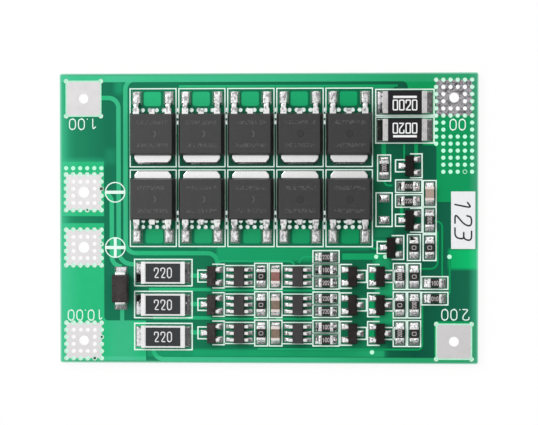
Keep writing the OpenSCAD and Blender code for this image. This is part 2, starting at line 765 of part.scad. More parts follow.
module signal_tracks2() {
  w = signal_w - 0.08;
  yt = lane_y(lanes) + 2.15;
  // Over the highest lane
  track_x(monitor_x - 2.4, second_x - 1.3, yt, w);
  bend2(monitor_x - 2.4, yt - 0.8, 0.8, w, -1, 1);
  bend2(second_x - 1.3, yt - 0.8, 0.8, w, 1, 1);
  track_x(second_x + 1.1, pair_x - 1.4, extra_y, w);
  bend2(second_x + 1.1, extra_y - 0.9, 0.9, w, -1, 1);
  // Under the lowest lane, round to the end chips
  yu = lane_bottom - 0.7;
  xe = pull_b_x + chip_w / 2 + 0.55;
  track_x(filter_x - 0.5, xe - 0.7, yu, w);
  bend2(xe - 0.7, yu + 0.7, 0.7, w, 1, -1);
  track_y(xe, yu + 0.7, lane_y(lanes - 1), w);
  // From the sensing cluster down to the end chips
  xf = cc_x + 1.8;
  track_x(cc_x + 0.4, xf - 0.85, c4_y - 0.15, w);
  bend2(xf - 0.85, c4_y - 1, 0.85, w, 1, 1);
  track_y(xf, lane_y(lanes) - 0.3, c4_y - 1, w);
  track_y(cc_x + 1.15, lanes_top + 0.5, c4_y - 1.6, w);
  bend2(cc_x + 0.15, lanes_top + 0.5, 1, w, 1, -1);
  track_x(pull_b_x + 0.5, cc_x + 0.15, lanes_top - 0.5, w);
  xg = right_x - 0.6;
  track_y(xg, lane_y(lanes - 1) + 1.9, c5_y - 1.6, w);
  bend2(xg - 0.6, lane_y(lanes - 1) + 1.9, 0.6, w, 1, -1);
  // Under the shunts and between the cluster's parts
  yh = shunt_b_y - wide_w / 2 - 0.1;
  track_y(ca_x - 0.05, c1_y + 1, yh, track_w);
  track_y(cb_x - 0.75, c1_y + 0.6, yh, w);
  track_y(cb_x + 0.95, c1_y + 1, yh, track_w - 0.1);
  track_y(cb_x - 1.1, c4_y + 0.3, c3_y - 0.3, 0.5);
  track_x(fet_end - 0.1, cd_x - 0.4, c5_y + 1, w - 0.04);
  track_x(fet_end - 0.1, cd_x - 0.8, c5_y - 0.15, w);
  bend2(ca_x + 0.7, c1_y - 2.1, 0.7, w, -1, -1);
  track_x(ca_x + 0.7, ca_x + 1.2, c1_y - 2.8, w);
  // Between the two leads of each second output transistor
  for (k = [1:lanes])
    track_y(out_b_x - small_span / 2, lane_y(k) - 0.6, lane_y(k) + 0.6, 0.7);
}

// Bar under the power transistors' lower edge, and a patch between their leads
module fet_copper2() {
  box2(pair_x + chip_l / 2 + 1.3, c5_y - 1.75, ca_x + 0.15, c5_y - 0.85);
  for (i = [1:fet_columns]) {
    x = fet_x(i);
    soft2(x - 1.35, tip_up_y - 2.05, x + 1.15, tip_up_y, 0.35);
    soft2(x - 1.1, tip_low_y - 0.25, x + 1.4, tip_low_y + 1.85, 0.35);
  }
}

module copper2() {
  wide_copper2();
  supply_tracks2();
  signal_tracks2();
  fet_copper2();
}

module covered_copper() {
  color("mediumseagreen") on_board(z_top) linear_extrude(copper_t)
    difference() {
      copper2();
      terminal_outlines2();
      all_lands2();
      dots2(covered_vias, via_r);
      box2(label_x - label_w / 2, label_y - label_l / 2,
        label_x + label_w / 2, label_y + label_l / 2);
    }
}

module solder_lands() {
  color("lightgray") on_board(z_top) linear_extrude(land_t) all_lands2();
}

module negative_terminal() {
  terminal(left_x, minus_y, ring_grid(power_hole_d), power_hole_d);
}

module positive_terminal() {
  terminal(left_x, plus_y, ring_grid(power_hole_d), power_hole_d);
}

module tap_terminal_0() {
  terminal(right_x, tap_high_y, ring_grid(tap_hole_d), tap_hole_d);
}

module tap_terminal_1() {
  terminal(left_x, tap_high_y, tap_corners, tap_hole_d);
}

module tap_terminal_2() {
  terminal(right_x, tap_low_y, tap_corners, tap_hole_d);
}

module tap_terminal_3() {
  terminal(left_x, tap_low_y, ring_grid(tap_hole_d), tap_hole_d);
}

module transistor_body(i, upper) {
  color("dimgray") at_fet(i, upper) fet_body();
}

module transistor_frame(i, upper) {
  color("gainsboro") at_fet(i, upper) fet_frame();
}

module shunt_body(y) {
  color("dimgray") on_board(z_part) translate([shunt_x, y, 0])
    wide_block(wide_l - 2 * shunt_end, wide_w, shunt_h);
}

module shunt_ends(y) {
  color("silver") on_board(z_part) translate([shunt_x, y, 0]) difference() {
    wide_block(wide_l, wide_w, shunt_h);
    wide_block(wide_l - 2 * shunt_end, wide_w + 1, shunt_h + 1);
  }
}

module bleeder_body(k) {
  color("whitesmoke") on_board(z_part) translate([bleed_x, bleed_y(k), 0])
    chip_core(wide_l, wide_w, bleed_h);
}

module bleeder_ends(k) {
  color("silver") on_board(z_part) translate([bleed_x, bleed_y(k), 0])
    chip_caps(wide_l, wide_w, bleed_h, bleed_end);
}

module bleeder_films() {
  l = wide_l - 2 * bleed_end - 0.2;
  w = wide_w - 2 * film_rim;
  color("dimgray") on_board(z_part + bleed_h - chip_metal)
    for (k = [1:lanes])
      translate([bleed_x - l / 2, bleed_y(k) - w / 2, 0])
        cube([l, w, film_t]);
}

module diode_body() {
  color("dimgray") on_board(z_part) translate([diode_x, diode_y, 0])
    difference() {
      moulded(diode_w, diode_l, 0.2, diode_h / 2, diode_h, 0.08, 0.15, 0.15);
      diode_pair();
    }
}

module diode_leads() {
  color("gainsboro") on_board(z_part) translate([diode_x, diode_y, 0])
    diode_pair();
}

module lane_bodies(k) {
  color("dimgray") on_board(z_part) at_small(lane_small(k)) difference() {
    small_body(small_w);
    small_leads();
  }
}

module lane_leads(k) {
  color("gainsboro") on_board(z_part) at_small(lane_small(k)) small_leads();
}

module monitor_bodies() {
  color("dimgray") on_board(z_part)
    for (p = six_leads) translate(p) difference() {
      small_body(six_w);
      six_leads_one();
    }
}

module monitor_leads() {
  color("gainsboro") on_board(z_part)
    for (p = six_leads) translate(p) six_leads_one();
}

module cluster_transistor_bodies() {
  color("dimgray") on_board(z_part) at_small(cluster_small) difference() {
    small_body(small_w);
    small_leads();
  }
}

module cluster_transistor_leads() {
  color("gainsboro") on_board(z_part) at_small(cluster_small) small_leads();
}

module chip_resistor_bodies() {
  color("dimgray") at_chips(resistors) chip_core(chip_l, chip_w, chip_h);
}

module chip_resistor_ends() {
  color("silver") at_chips(resistors)
    chip_caps(chip_l, chip_w, chip_h, chip_end);
}

module chip_capacitor_bodies() {
  color("tan") at_chips(capacitors) chip_core(chip_l, chip_w, cap_h);
}

module chip_capacitor_ends() {
  color("silver") at_chips(capacitors)
    chip_caps(chip_l, chip_w, cap_h, chip_end);
}

module sticker() {
  color("white") on_board(z_top)
    translate([label_x - label_w / 2, label_y - label_l / 2, 0])
      cube([label_w, label_l, label_t]);
}

wiring_board();
covered_copper();
solder_lands();
negative_terminal();
positive_terminal();
tap_terminal_0();
tap_terminal_1();
tap_terminal_2();
tap_terminal_3();
transistor_body(1, true);  // transistor_body_u1
transistor_body(2, true);  // transistor_body_u2
transistor_body(3, true);  // transistor_body_u3
transistor_body(4, true);  // transistor_body_u4
transistor_body(5, true);  // transistor_body_u5
transistor_body(1, false);  // transistor_body_l1
transistor_body(2, false);  // transistor_body_l2
transistor_body(3, false);  // transistor_body_l3
transistor_body(4, false);  // transistor_body_l4
transistor_body(5, false);  // transistor_body_l5
transistor_frame(1, true);  // transistor_frame_u1
transistor_frame(2, true);  // transistor_frame_u2
transistor_frame(3, true);  // transistor_frame_u3
transistor_frame(4, true);  // transistor_frame_u4
transistor_frame(5, true);  // transistor_frame_u5
transistor_frame(1, false);  // transistor_frame_l1
transistor_frame(2, false);  // transistor_frame_l2
transistor_frame(3, false);  // transistor_frame_l3
transistor_frame(4, false);  // transistor_frame_l4
transistor_frame(5, false);  // transistor_frame_l5
shunt_body(shunt_a_y);  // shunt_body_a
shunt_body(shunt_b_y);  // shunt_body_b
shunt_ends(shunt_a_y);  // shunt_ends_a
shunt_ends(shunt_b_y);  // shunt_ends_b
bleeder_body(1);  // bleeder_body_1
bleeder_body(2);  // bleeder_body_2
bleeder_body(3);  // bleeder_body_3
bleeder_ends(1);  // bleeder_ends_1
bleeder_ends(2);  // bleeder_ends_2
bleeder_ends(3);  // bleeder_ends_3
bleeder_films();
diode_body();
diode_leads();
lane_bodies(1);  // lane_1_transistor_bodies
lane_bodies(2);  // lane_2_transistor_bodies
lane_bodies(3);  // lane_3_transistor_bodies
lane_leads(1);  // lane_1_transistor_leads
lane_leads(2);  // lane_2_transistor_leads
lane_leads(3);  // lane_3_transistor_leads
monitor_bodies();
monitor_leads();
cluster_transistor_bodies();
cluster_transistor_leads();
chip_resistor_bodies();
chip_resistor_ends();
chip_capacitor_bodies();
chip_capacitor_ends();
sticker();
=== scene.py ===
"""Looks of the battery management board: solder, print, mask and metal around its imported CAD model."""

import functools
import math

import bpy
from mathutils import Euler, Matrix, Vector, noise


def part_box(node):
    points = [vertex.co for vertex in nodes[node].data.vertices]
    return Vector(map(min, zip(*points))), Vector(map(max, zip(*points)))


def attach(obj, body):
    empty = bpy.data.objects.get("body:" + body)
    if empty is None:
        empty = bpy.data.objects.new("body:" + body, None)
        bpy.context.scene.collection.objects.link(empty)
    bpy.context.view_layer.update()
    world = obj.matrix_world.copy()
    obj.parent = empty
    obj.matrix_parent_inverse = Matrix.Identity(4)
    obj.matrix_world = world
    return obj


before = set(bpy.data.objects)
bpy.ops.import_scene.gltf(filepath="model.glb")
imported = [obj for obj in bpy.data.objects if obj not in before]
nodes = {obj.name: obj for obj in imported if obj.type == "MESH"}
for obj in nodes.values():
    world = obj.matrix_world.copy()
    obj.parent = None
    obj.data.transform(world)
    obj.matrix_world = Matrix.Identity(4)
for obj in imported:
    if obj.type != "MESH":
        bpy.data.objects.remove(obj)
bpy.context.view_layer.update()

scene = bpy.context.scene

# ---- board frame

MM = 0.001
BOARD_LOW, BOARD_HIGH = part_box("wiring_board")
BOARD_L = (BOARD_HIGH.x - BOARD_LOW.x) / MM
BOARD_W = (BOARD_HIGH.y - BOARD_LOW.y) / MM
Z_TOP = BOARD_HIGH.z / MM
Z_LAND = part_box("solder_lands")[1].z / MM
Z_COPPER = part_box("covered_copper")[1].z / MM
# The skins of solder start inside the lands and lie just over them
Z_SKIN_BASE = Z_LAND - 0.01
Z_SKIN_EDGE = Z_LAND + 0.004
WIDEST_HOLE = 3

# Upper and lower power transistors, from left to right
FET_CODES = [f"{side}{column}" for side in "ul" for column in range(1, 6)]


def metres(x, y, z):
    """A point in board millimetres, from the laminate's lower left corner, in the row frame."""
    return (BOARD_LOW.x + x * MM, BOARD_LOW.y + y * MM, z * MM)


class Box:
    """A box in board millimetres, with its middle and its plan size."""

    def __init__(self, x0, y0, x1, y1, z0=0.0, z1=0.0):
        self.x0, self.y0, self.z0 = x0, y0, z0
        self.x1, self.y1, self.z1 = x1, y1, z1
        self.x, self.y = (x0 + x1) / 2, (y0 + y1) / 2
        self.w, self.h = x1 - x0, y1 - y0


def around(points):
    """The box around points of the row frame."""
    xs, ys, zs = zip(*points)
    return Box((min(xs) - BOARD_LOW.x) / MM, (min(ys) - BOARD_LOW.y) / MM,
               (max(xs) - BOARD_LOW.x) / MM, (max(ys) - BOARD_LOW.y) / MM, min(zs) / MM, max(zs) / MM)


@functools.cache
def box(node):
    """The box of a CAD node."""
    return around(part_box(node))


def joined_boxes(mesh, loops):
    """The boxes of the vertices that loops join, where vertices at one place count as one."""
    keys = [tuple(round(c * 1e7) for c in v.co) for v in mesh.vertices]
    parent = {k: k for k in keys}

    def root(k):
        while parent[k] != k:
            parent[k] = parent[parent[k]]
            k = parent[k]
        return k

    for loop in loops:
        for i in loop:
            parent[root(keys[i])] = root(keys[loop[0]])
    groups = {}
    for loop in loops:
        for i in loop:
            groups.setdefault(root(keys[i]), []).append(mesh.vertices[i].co)
    return [around(points) for points in groups.values()]


def named(*words):
    """The CAD nodes whose names hold one of some words."""
    return sorted(name for name in nodes if any(word in name for word in words))


def islands(*words):
    """The boxes of the separate solids of the CAD nodes that some words name."""
    found = []
    for name in named(*words):
        mesh = nodes[name].data
        found += joined_boxes(mesh, [edge.vertices for edge in mesh.edges])
    return sorted(found, key=lambda b: (round(b.y, 2), round(b.x, 2)))


def holes(name):
    """The boxes of the round holes through a CAD node."""
    mesh = nodes[name].data
    walls = joined_boxes(mesh, [face.vertices for face in mesh.polygons if abs(face.normal.z) < 0.1])
    return [hole for hole in walls if hole.w < WIDEST_HOLE]


def hull(boxes):
    """The plan box around some boxes."""
    return Box(min(b.x0 for b in boxes), min(b.y0 for b in boxes),
               max(b.x1 for b in boxes), max(b.y1 for b in boxes))


def nearest(place, boxes, count):
    """The boxes whose middles lie nearest to that of another."""
    return sorted(boxes, key=lambda b: math.hypot(b.x - place.x, b.y - place.y))[:count]


LANDS = islands("solder_lands")
HOLES = holes("wiring_board")
BODIES = {code: box(f"transistor_body_{code}") for code in FET_CODES}


# ---- mesh building


def rounded(path, radius, closed=False):
    """A path with its corners rounded."""
    steps = 4
    points = [Vector(p) for p in path]
    out = []
    for i, p in enumerate(points):
        if not closed and i in (0, len(points) - 1):
            out.append(p)
            continue
        before, after = points[i - 1] - p, points[(i + 1) % len(points)] - p
        share = 0.5 if closed else 0.48
        start = p + before.normalized() * min(radius, before.length * share)
        end = p + after.normalized() * min(radius, after.length * share)
        for k in range(steps + 1):
            t = k / steps
            out.append(start * (1 - t) ** 2 + p * 2 * t * (1 - t) + end * t * t)
    return out


def ring(x, y, r, count=32):
    """Points of a circle, anticlockwise."""
    turns = [2 * math.pi * k / count for k in range(count)]
    return [(x + r * math.cos(a), y + r * math.sin(a)) for a in turns]


def round_end(row, way):
    """Two narrower rows past the end of a ribbon: before its first row with -1, past its last with 1."""
    p, across = row
    out = Vector((across.y, -across.x)) * way
    return [(p + out * 0.7, across * 0.72), (p + out * 0.98, across * 0.3)]


def link_to_scene(name, data):
    """A new object of some data in the scene."""
    obj = bpy.data.objects.new(name, data)
    scene.collection.objects.link(obj)
    return obj


class Shape:
    """Closed pieces of mesh in board millimetres that make one object."""

    def __init__(self):
        self.points = []
        self.faces = []

    def add(self, points, faces):
        start = len(self.points)
        self.points += points
        self.faces += [[start + i for i in face] for face in faces]

    def slab(self, outline, z0, z1, inset=0.0):
        """A flat solid over an outline that runs anticlockwise; its top edge may lean in."""
        n = len(outline)
        cx, cy = (sum(values) / n for values in zip(*outline))
        top = [(x - math.copysign(inset, x - cx), y - math.copysign(inset, y - cy), z1) for x, y in outline]
        points = [(x, y, z0) for x, y in outline] + top
        faces = [list(range(n - 1, -1, -1)), list(range(n, 2 * n))]
        faces += [[i, (i + 1) % n, n + (i + 1) % n, n + i] for i in range(n)]
        self.add(points, faces)

    def rect(self, x0, y0, x1, y1, z0, z1):
        self.slab([(x0, y0), (x1, y0), (x1, y1), (x0, y1)], z0, z1)

    def stroke(self, path, width, z0, z1, closed=False):
        """A ribbon along a path, with rounded ends where it is open."""
        points = [Vector(p) for p in path]
        rows = []
        for i, p in enumerate(points):
            before = p - points[i - 1] if closed or i else points[1] - p
            after = points[(i + 1) % len(points)] - p if closed or i < len(points) - 1 else before
            along = (before.normalized() + after.normalized()).normalized()
            across = Vector((-along.y, along.x))
            lean = max(0.5, along.dot(after.normalized()))
            rows.append((p, across * (width / 2 / lean)))
        if not closed:
            rows = round_end(rows[0], -1)[::-1] + rows + round_end(rows[-1], 1)
        verts = []
        for p, across in rows:
            a, b = p + across, p - across
            verts += [(a.x, a.y, z0), (b.x, b.y, z0), (b.x, b.y, z1), (a.x, a.y, z1)]
        faces = []
        count = len(rows)
        for i in range(count if closed else count - 1):
            j = (i + 1) % count
            for k in range(4):
                m = (k + 1) % 4
                faces.append([4 * i + k, 4 * i + m, 4 * j + m, 4 * j + k])
        if not closed:
            faces += [[3, 2, 1, 0], list(range(4 * count - 4, 4 * count))]
        self.add(verts, faces)

    def frame(self, x0, y0, x1, y1, width, z0, z1):
        """A ribbon round a rectangle."""
        self.stroke([(x0, y0), (x1, y0), (x1, y1), (x0, y1)], width, z0, z1, True)

    def skin(self, land, step, height_at):
        """A closed skin of solder over a rectangle: a grid of heights on a flat base."""
        nx = max(5, round(land.w / step))
        ny = max(5, round(land.h / step))
        rows = [land.y0 + land.h * j / ny for j in range(ny + 1)]
        grid = [(land.x0 + land.w * i / nx, y) for y in rows for i in range(nx + 1)]
        faces = []

        def at(i, j, level):
            return level * len(grid) + j * (nx + 1) + i

        def wall(i, j, m, n):
            faces.append([at(i, j, 0), at(m, n, 0), at(m, n, 1), at(i, j, 1)])

        for j in range(ny):
            for i in range(nx):
                faces.append([at(i, j, 1), at(i + 1, j, 1), at(i + 1, j + 1, 1), at(i, j + 1, 1)])
                faces.append([at(i, j, 0), at(i, j + 1, 0), at(i + 1, j + 1, 0), at(i + 1, j, 0)])
        for i in range(nx):
            wall(i, 0, i + 1, 0)
            wall(i + 1, ny, i, ny)
        for j in range(ny):
            wall(nx, j, nx, j + 1)
            wall(0, j + 1, 0, j)
        base = [(x, y, Z_SKIN_BASE) for x, y in grid]
        self.add(base + [(x, y, height_at(x, y)) for x, y in grid], faces)

    def make(self, name, look, slot=None, smooth=False):
        """Puts the pieces in the scene as one object on the board."""
        mesh = bpy.data.meshes.new(name)
        mesh.from_pydata([metres(*p) for p in self.points], [], self.faces)
        mesh.validate()
        mesh.materials.append(look.material)
        if smooth:
            mesh.shade_smooth()
        obj = link_to_scene(name, mesh)
        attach(obj, "root")


# ---- digits

# Strokes of each digit in a box one wide and one high, and whether each closes
DIGITS = {
    "0": [([(0, 0), (1, 0), (1, 1), (0, 1)], True)],
    "1": [([(0.12, 0.76), (0.58, 1), (0.58, 0)], False)],
    "2": [([(0, 0.72), (0, 1), (1, 1), (1, 0.58), (0, 0), (1, 0)], False)],
    "3": [([(0, 1), (1, 1), (1, 0.53), (0.3, 0.53)], False),
          ([(0.5, 0.53), (1, 0.53), (1, 0), (0, 0)], False)],
    ".": [([(0, 0), (0, 0.03)], False)],
}


def write(shape, text, place, levels, turn, height, line, wide, gap, soft=0.4, slant=0.0):
    """Digits centred on a place, turned by turn degrees; wide, gap and soft are shares of the height."""
    widths = [0.0 if c == "." else wide * height for c in text]
    total = sum(widths) + gap * height * (len(text) - 1)
    cos, sin = math.cos(math.radians(turn)), math.sin(math.radians(turn))
    x, y = place
    start = -total / 2
    for c, width in zip(text, widths):
        for path, closed in DIGITS[c]:
            flat = [(start + u * width, (v - 0.5) * height) for u, v in path]
            flat = [(u + slant * v, v) for u, v in flat]
            placed = [(x + u * cos - v * sin, y + u * sin + v * cos) for u, v in flat]
            shape.stroke(rounded(placed, soft * height, closed), line, *levels, closed)
        start += width + gap * height


# ---- materials


def linear(colour):
    """Blender's linear values of a colour given from 0 to 255; four values are linear already."""
    if len(colour) == 4:
        return colour
    values = []
    for c in colour:
        c /= 255
        values.append(c / 12.92 if c <= 0.04045 else ((c + 0.055) / 1.055) ** 2.4)
    return (*values, 1.0)


def shaded(colour, factor):
    """A colour made darker or paler."""
    return tuple(max(0.0, min(1.0, c * factor)) for c in linear(colour)[:3]) + (1.0,)


class Tree:
    """The shader nodes of a material or of the world."""

    def __init__(self, tree):
        self.tree = tree

    def feed(self, target, value):
        """Links a socket, or sets a plain value."""
        if isinstance(value, bpy.types.NodeSocket):
            self.tree.links.new(value, target)
        elif target.type == "RGBA":
            target.default_value = linear(value)
        else:
            target.default_value = value

    def add(self, kind, inputs=(), **settings):
        """A node with its settings, and with its inputs fed by name or number."""
        node = self.tree.nodes.new("ShaderNode" + kind)
        for name, value in settings.items():
            setattr(node, name, value)
        for key, value in dict(inputs).items():
            self.feed(node.inputs[key], value)
        return node

    def math(self, operation, a, b=0.0, c=0.0):
        return self.add("Math", {0: a, 1: b, 2: c}, operation=operation).outputs[0]

    def times(self, value, *others):
        """The product of some values."""
        for other in others:
            value = self.math("MULTIPLY", value, other)
        return value

    def rest(self, share):
        """What a share leaves of one."""
        return self.math("SUBTRACT", 1.0, share)

    def step(self, value, low, high, out_low=0.0, out_high=1.0, kind="SMOOTHSTEP"):
        """A change of value between two limits."""
        limits = {"From Min": low, "From Max": high, "To Min": out_low, "To Max": out_high}
        node = self.add("MapRange", {"Value": value, **limits}, interpolation_type=kind)
        return node.outputs["Result"]

    def band(self, value, rise, full, fade, end):
        """One between full and fade, nought before rise and past end."""
        return self.times(self.step(value, rise, full), self.step(value, fade, end, 1, 0))

    def ramp(self, value, stops):
        node = self.add("ValToRGB", {"Fac": value})
        elements = node.color_ramp.elements
        while len(elements) < len(stops):
            elements.new(0.5)
        for element, (position, colour) in zip(elements, sorted(stops)):
            element.position = position
            element.color = linear(colour)
        return node.outputs["Color"]


class Look(Tree):
    """A node material whose patterns are placed in board millimetres."""

    def __init__(self, name, roughness, metallic=0.0, specular=0.5):
        self.material = bpy.data.materials.new(name)
        self.material.use_nodes = True
        super().__init__(self.material.node_tree)
        self.shader = self.tree.nodes["Principled BSDF"]
        self.give("Roughness", roughness)
        self.give("Metallic", metallic)
        self.give("Specular IOR Level", specular)
        corner = (-BOARD_LOW.x / MM, -BOARD_LOW.y / MM, 0)
        point = self.add("TexCoord").outputs["Object"]
        scale = self.add("Mapping", {"Scale": (1 / MM,) * 3, "Location": corner, "Vector": point})
        self.place = scale.outputs["Vector"]
        self.x, self.y, self.z = self.add("SeparateXYZ", {0: self.place}).outputs

    def give(self, socket, value):
        self.feed(self.shader.inputs[socket], value)

    def colour(self, value):
        self.tone = value
        self.give("Base Color", value)

    def bump(self, height, distance, strength):
        """Relief with a distance in millimetres."""
        node = self.add("Bump", {"Strength": strength, "Distance": distance * MM, "Height": height})
        self.give("Normal", node.outputs["Normal"])

    def noise(self, scale, detail=3.0, rough=0.55, stretch=None):
        """Noise with scale features in a millimetre; stretch squeezes it along the axes."""
        where = self.place
        if stretch:
            where = self.add("Mapping", {"Scale": stretch, "Vector": self.place}).outputs["Vector"]
        values = {"Scale": scale, "Detail": detail, "Roughness": rough, "Vector": where}
        return self.add("TexNoise", values).outputs["Fac"]

    def along(self, stops, unit=BOARD_L):
        """A ramp along the board, with stops in millimetres, or in shares of it with a unit of one."""
        share = self.math("DIVIDE", self.x, BOARD_L)
        return self.ramp(share, [(x / unit, colour) for x, colour in stops])

    def painted_shade_along(self, tone, stops):
        """A tone made darker by a ramp along the board, as painted shade, with stops in shares of its length.
        """
        return self.mix(1.0, tone, self.along(stops, 1), "MULTIPLY")

    def mix(self, factor, a, b, blend="MIX"):
        node = self.add("Mix", {0: factor}, data_type="RGBA", blend_type=blend)
        first, second, result = [s for s in (*node.inputs, *node.outputs) if s.type == "RGBA"]
        self.feed(first, a)
        self.feed(second, b)
        return result

    def tint(self, tone, colour, *shares):
        """A tone with a colour mixed in, by the product of some shares."""
        return self.mix(self.times(*shares), tone, colour)

    def field(self, x0, y0, x1, y1, soft):
        """One inside a rectangle of the board, fading to nought over soft millimetres."""
        return self.times(self.band(self.x, x0 - soft, x0 + soft, x1 - soft, x1 + soft),
                          self.band(self.y, y0 - soft, y0 + soft, y1 - soft, y1 + soft))

    def facing(self):
        """How far a face points straight up, and how far straight down."""
        normal = self.add("NewGeometry").outputs["Normal"]
        upward = self.add("SeparateXYZ", {0: normal}).outputs[2]
        return self.step(upward, 0.8, 0.95), self.step(upward, -0.95, -0.8, 1, 0)


def mask_coat(look):
    """Slight waves of the solder mask."""
    waves = look.noise(1.4, 2.0)
    grain = look.noise(9.0, 2.0)
    look.bump(look.math("ADD", waves, look.times(grain, 0.12)), 0.02, 0.5)


# Copper on the far side: left, low, right and high limit, fade and strength
FAR_COPPER = [
    (22.6, 14.6, 36.3, 16.7, 0.3, 1.0), (19, 0.9, 46.7, 2.0, 0.3, 1.0), (45.4, 9.7, 48, 11.5, 0.5, 1.1),
    (12.6, 0.9, 19.3, 2.1, 0.3, 0.75), (45.2, 5.7, 48, 7.5, 0.5, 1.05), (45.2, 13.2, 47.6, 15.4, 0.6, 0.9),
    (55.8, 13.6, 61, 16.4, 0.4, 1.15), (45.2, 18.0, 47.9, 19.3, 0.4, 0.28), (38, 0.9, 47, 3.0, 0.6, 0.35),
    (8, 38.7, 9.2, 40.9, 0.6, 0.6), (6.6, 28.6, 8.2, 30.8, 0.6, 0.3), (17.2, 39.3, 48, 39.7, 0.12, 0.7),
    (20, 16.2, 44.5, 16.9, 0.3, 0.35), (0, 28.4, 6.6, 29.4, 0.5, 0.5), (43, 7.6, 44.2, 9.6, 0.6, 0.3)]


def laminate_look():
    """Green mask on both faces, with far copper showing through, and a glass fibre edge."""
    look = Look("green_mask", 0.36, specular=0.06)
    # The ramps along the board are partly painted light: paler on the left, where the light falls, and darker
    # towards the right
    bare = look.along([
        (0, (75, 190, 148)), (0.7, (44, 160, 116)), (2.2, (30, 137, 98)), (7, (20, 117, 85)),
        (14, (21, 122, 86)), (30, (15, 110, 75)), (44, (12, 103, 70)), (51, (6, 83, 60)),
        (56, (14, 98, 72)), (60, (22, 106, 78))])
    copper = look.along([
        (0, (60, 190, 145)), (10, (26, 165, 112)), (25, (24, 162, 106)), (40, (20, 152, 96)),
        (46, (34, 168, 112)), (53, (10, 150, 90)), (60, (6, 196, 112))])
    through = 0.0
    for *limits, soft, strength in FAR_COPPER:
        patch = look.times(look.field(*limits, soft), strength)
        through = look.math("MAXIMUM", through, patch)
    face = look.mix(through, bare, copper)
    # The rim lets light in from the side and looks paler
    inside = look.field(0.9, 0.2, BOARD_L - 0.9, BOARD_W - 0.3, 0.7)
    face = look.tint(face, (66, 196, 146), look.rest(inside), 0.5)
    inside = look.field(0.14, 0.14, BOARD_L - 0.14, BOARD_W - 0.14, 0.22)
    face = look.tint(face, (178, 240, 214), look.rest(inside), 0.9)
    # Painted shade on the laminate between the two rows of tabs, where the bodies shade it
    first, last, above = BODIES["l1"], BODIES["l5"], BODIES["u1"]
    row = look.field(first.x0 - 0.3, first.y1 - 0.3, last.x1 + 0.4, above.y0, 0.5)
    up, down = look.facing()
    face = look.tint(face, (18, 50, 46), row, up, 0.45)
    weave = look.noise(3.0, 1.0, stretch=(6, 0.6, 1))
    face = look.tint(face, (10, 80, 60), weave, 0.12)
    layers = look.noise(2.5, 3.0, stretch=(0.8, 0.8, 9))
    edge = look.ramp(layers, [(0.35, (120, 150, 88)), (0.7, (178, 190, 128))])
    # The holes' walls are plated; their pale tone is painted light, from the white ground seen through the
    # holes
    plated = look.field(0.1, 0.1, BOARD_L - 0.1, BOARD_W - 0.1, 0.02)
    edge = look.mix(plated, edge, (222, 246, 234))
    look.colour(look.mix(look.math("MAXIMUM", up, down), edge, face))
    mask_coat(look)
    return look


def raised_mask_look():
    """Mask over copper: paler and a little bluer than over bare laminate."""
    look = Look("raised_mask", 0.36, specular=0.06)
    # The ramp along the board is partly painted light: paler on the left, where the light falls, and darker
    # towards the right
    tone = look.along([
        (0, (70, 200, 150)), (3, (42, 190, 126)), (6.6, (44, 190, 128)), (8, (60, 188, 136)),
        (10, (60, 188, 136)), (11.5, (42, 188, 126)), (20, (42, 180, 122)), (35, (28, 168, 110)),
        (46, (12, 158, 96)), (52, (10, 150, 86)), (58.6, (12, 150, 90)), (60, (70, 160, 125))])
    inside = look.band(look.y, 0.8, 1.0, BOARD_W - 1.45, BOARD_W - 1.15)
    paler = look.step(look.x, BOARD_L * 0.5, BOARD_L * 0.85, 0.34, 0.16)
    tone = look.tint(tone, (96, 212, 172), look.rest(inside), paler)
    # The patches between the lower leads lie in the shade of the bodies
    first, last = BODIES["l1"], BODIES["l5"]
    shade = look.field(first.x0 + 0.3, first.y0 - 4.1, last.x1, first.y0 - 0.1, 0.3)
    tone = look.tint(tone, (4, 104, 60), shade, 0.3)
    look.colour(look.tint(tone, (14, 140, 92), look.noise(0.8), 0.16))
    mask_coat(look)
    return look


def tin_look(name, tone, roughness, speckle, streaks=None, bump=0.02, painted_bright_walls=False, grain_size=7.0,
             spread=0.21):
    """Tinned metal with fine grain; streaks squeeze the grain along the axes; its walls can be made white as
    painted light.
    """
    look = Look(name, roughness, metallic=1.0)
    grain = look.noise(grain_size, 5.0, 0.7, streaks)
    cloud = look.noise(0.7)
    blend = look.math("ADD", look.times(grain, 0.75), look.times(cloud, 0.25))
    dark, bright = shaded(tone, 1 - 5 * speckle), shaded(tone, 1 + 1.5 * speckle)
    shade = look.ramp(blend, [(0.5 - spread, dark), (0.5, tone), (0.5 + spread, bright)])
    # Painted light: faces that point sideways, such as the holes' walls, turn white, as if lit by the white
    # ground
    if painted_bright_walls:
        shade = look.mix(look.math("MAXIMUM", *look.facing()), (255, 255, 255), shade)
    look.colour(shade)
    look.give("Roughness", look.step(cloud, 0.3, 0.7, roughness * 0.9, roughness * 1.1))
    look.bump(grain, bump, 0.6)
    return look


def solder_look(name, waves, dull, tone, foot):
    """Bright solder with creases and a few dull flecks, darker at its foot as painted shade; foot is how dark
    it gets there.
    """
    look = Look(name, 0.16, metallic=1.0)
    creases = look.noise(2.4, 2.0, 0.5)
    flecks = look.noise(5.0, 3.0, 0.6)
    pale = tuple(min(255, c + 16) for c in tone)
    metal = look.ramp(flecks, [(0.36, dull), (0.46, tone), (0.8, pale)])
    # Painted shade: the solder darkens low down, near the board, as if in shade
    low = look.step(look.z, Z_LAND + 0.02, Z_LAND + 0.13, foot, 0)
    look.colour(look.mix(low, metal, (52, 52, 56)))
    look.give("Roughness", look.step(creases, 0.35, 0.7, 0.1, 0.24))
    look.bump(look.math("ADD", creases, look.times(flecks, 0.12)), waves, 0.6)
    return look


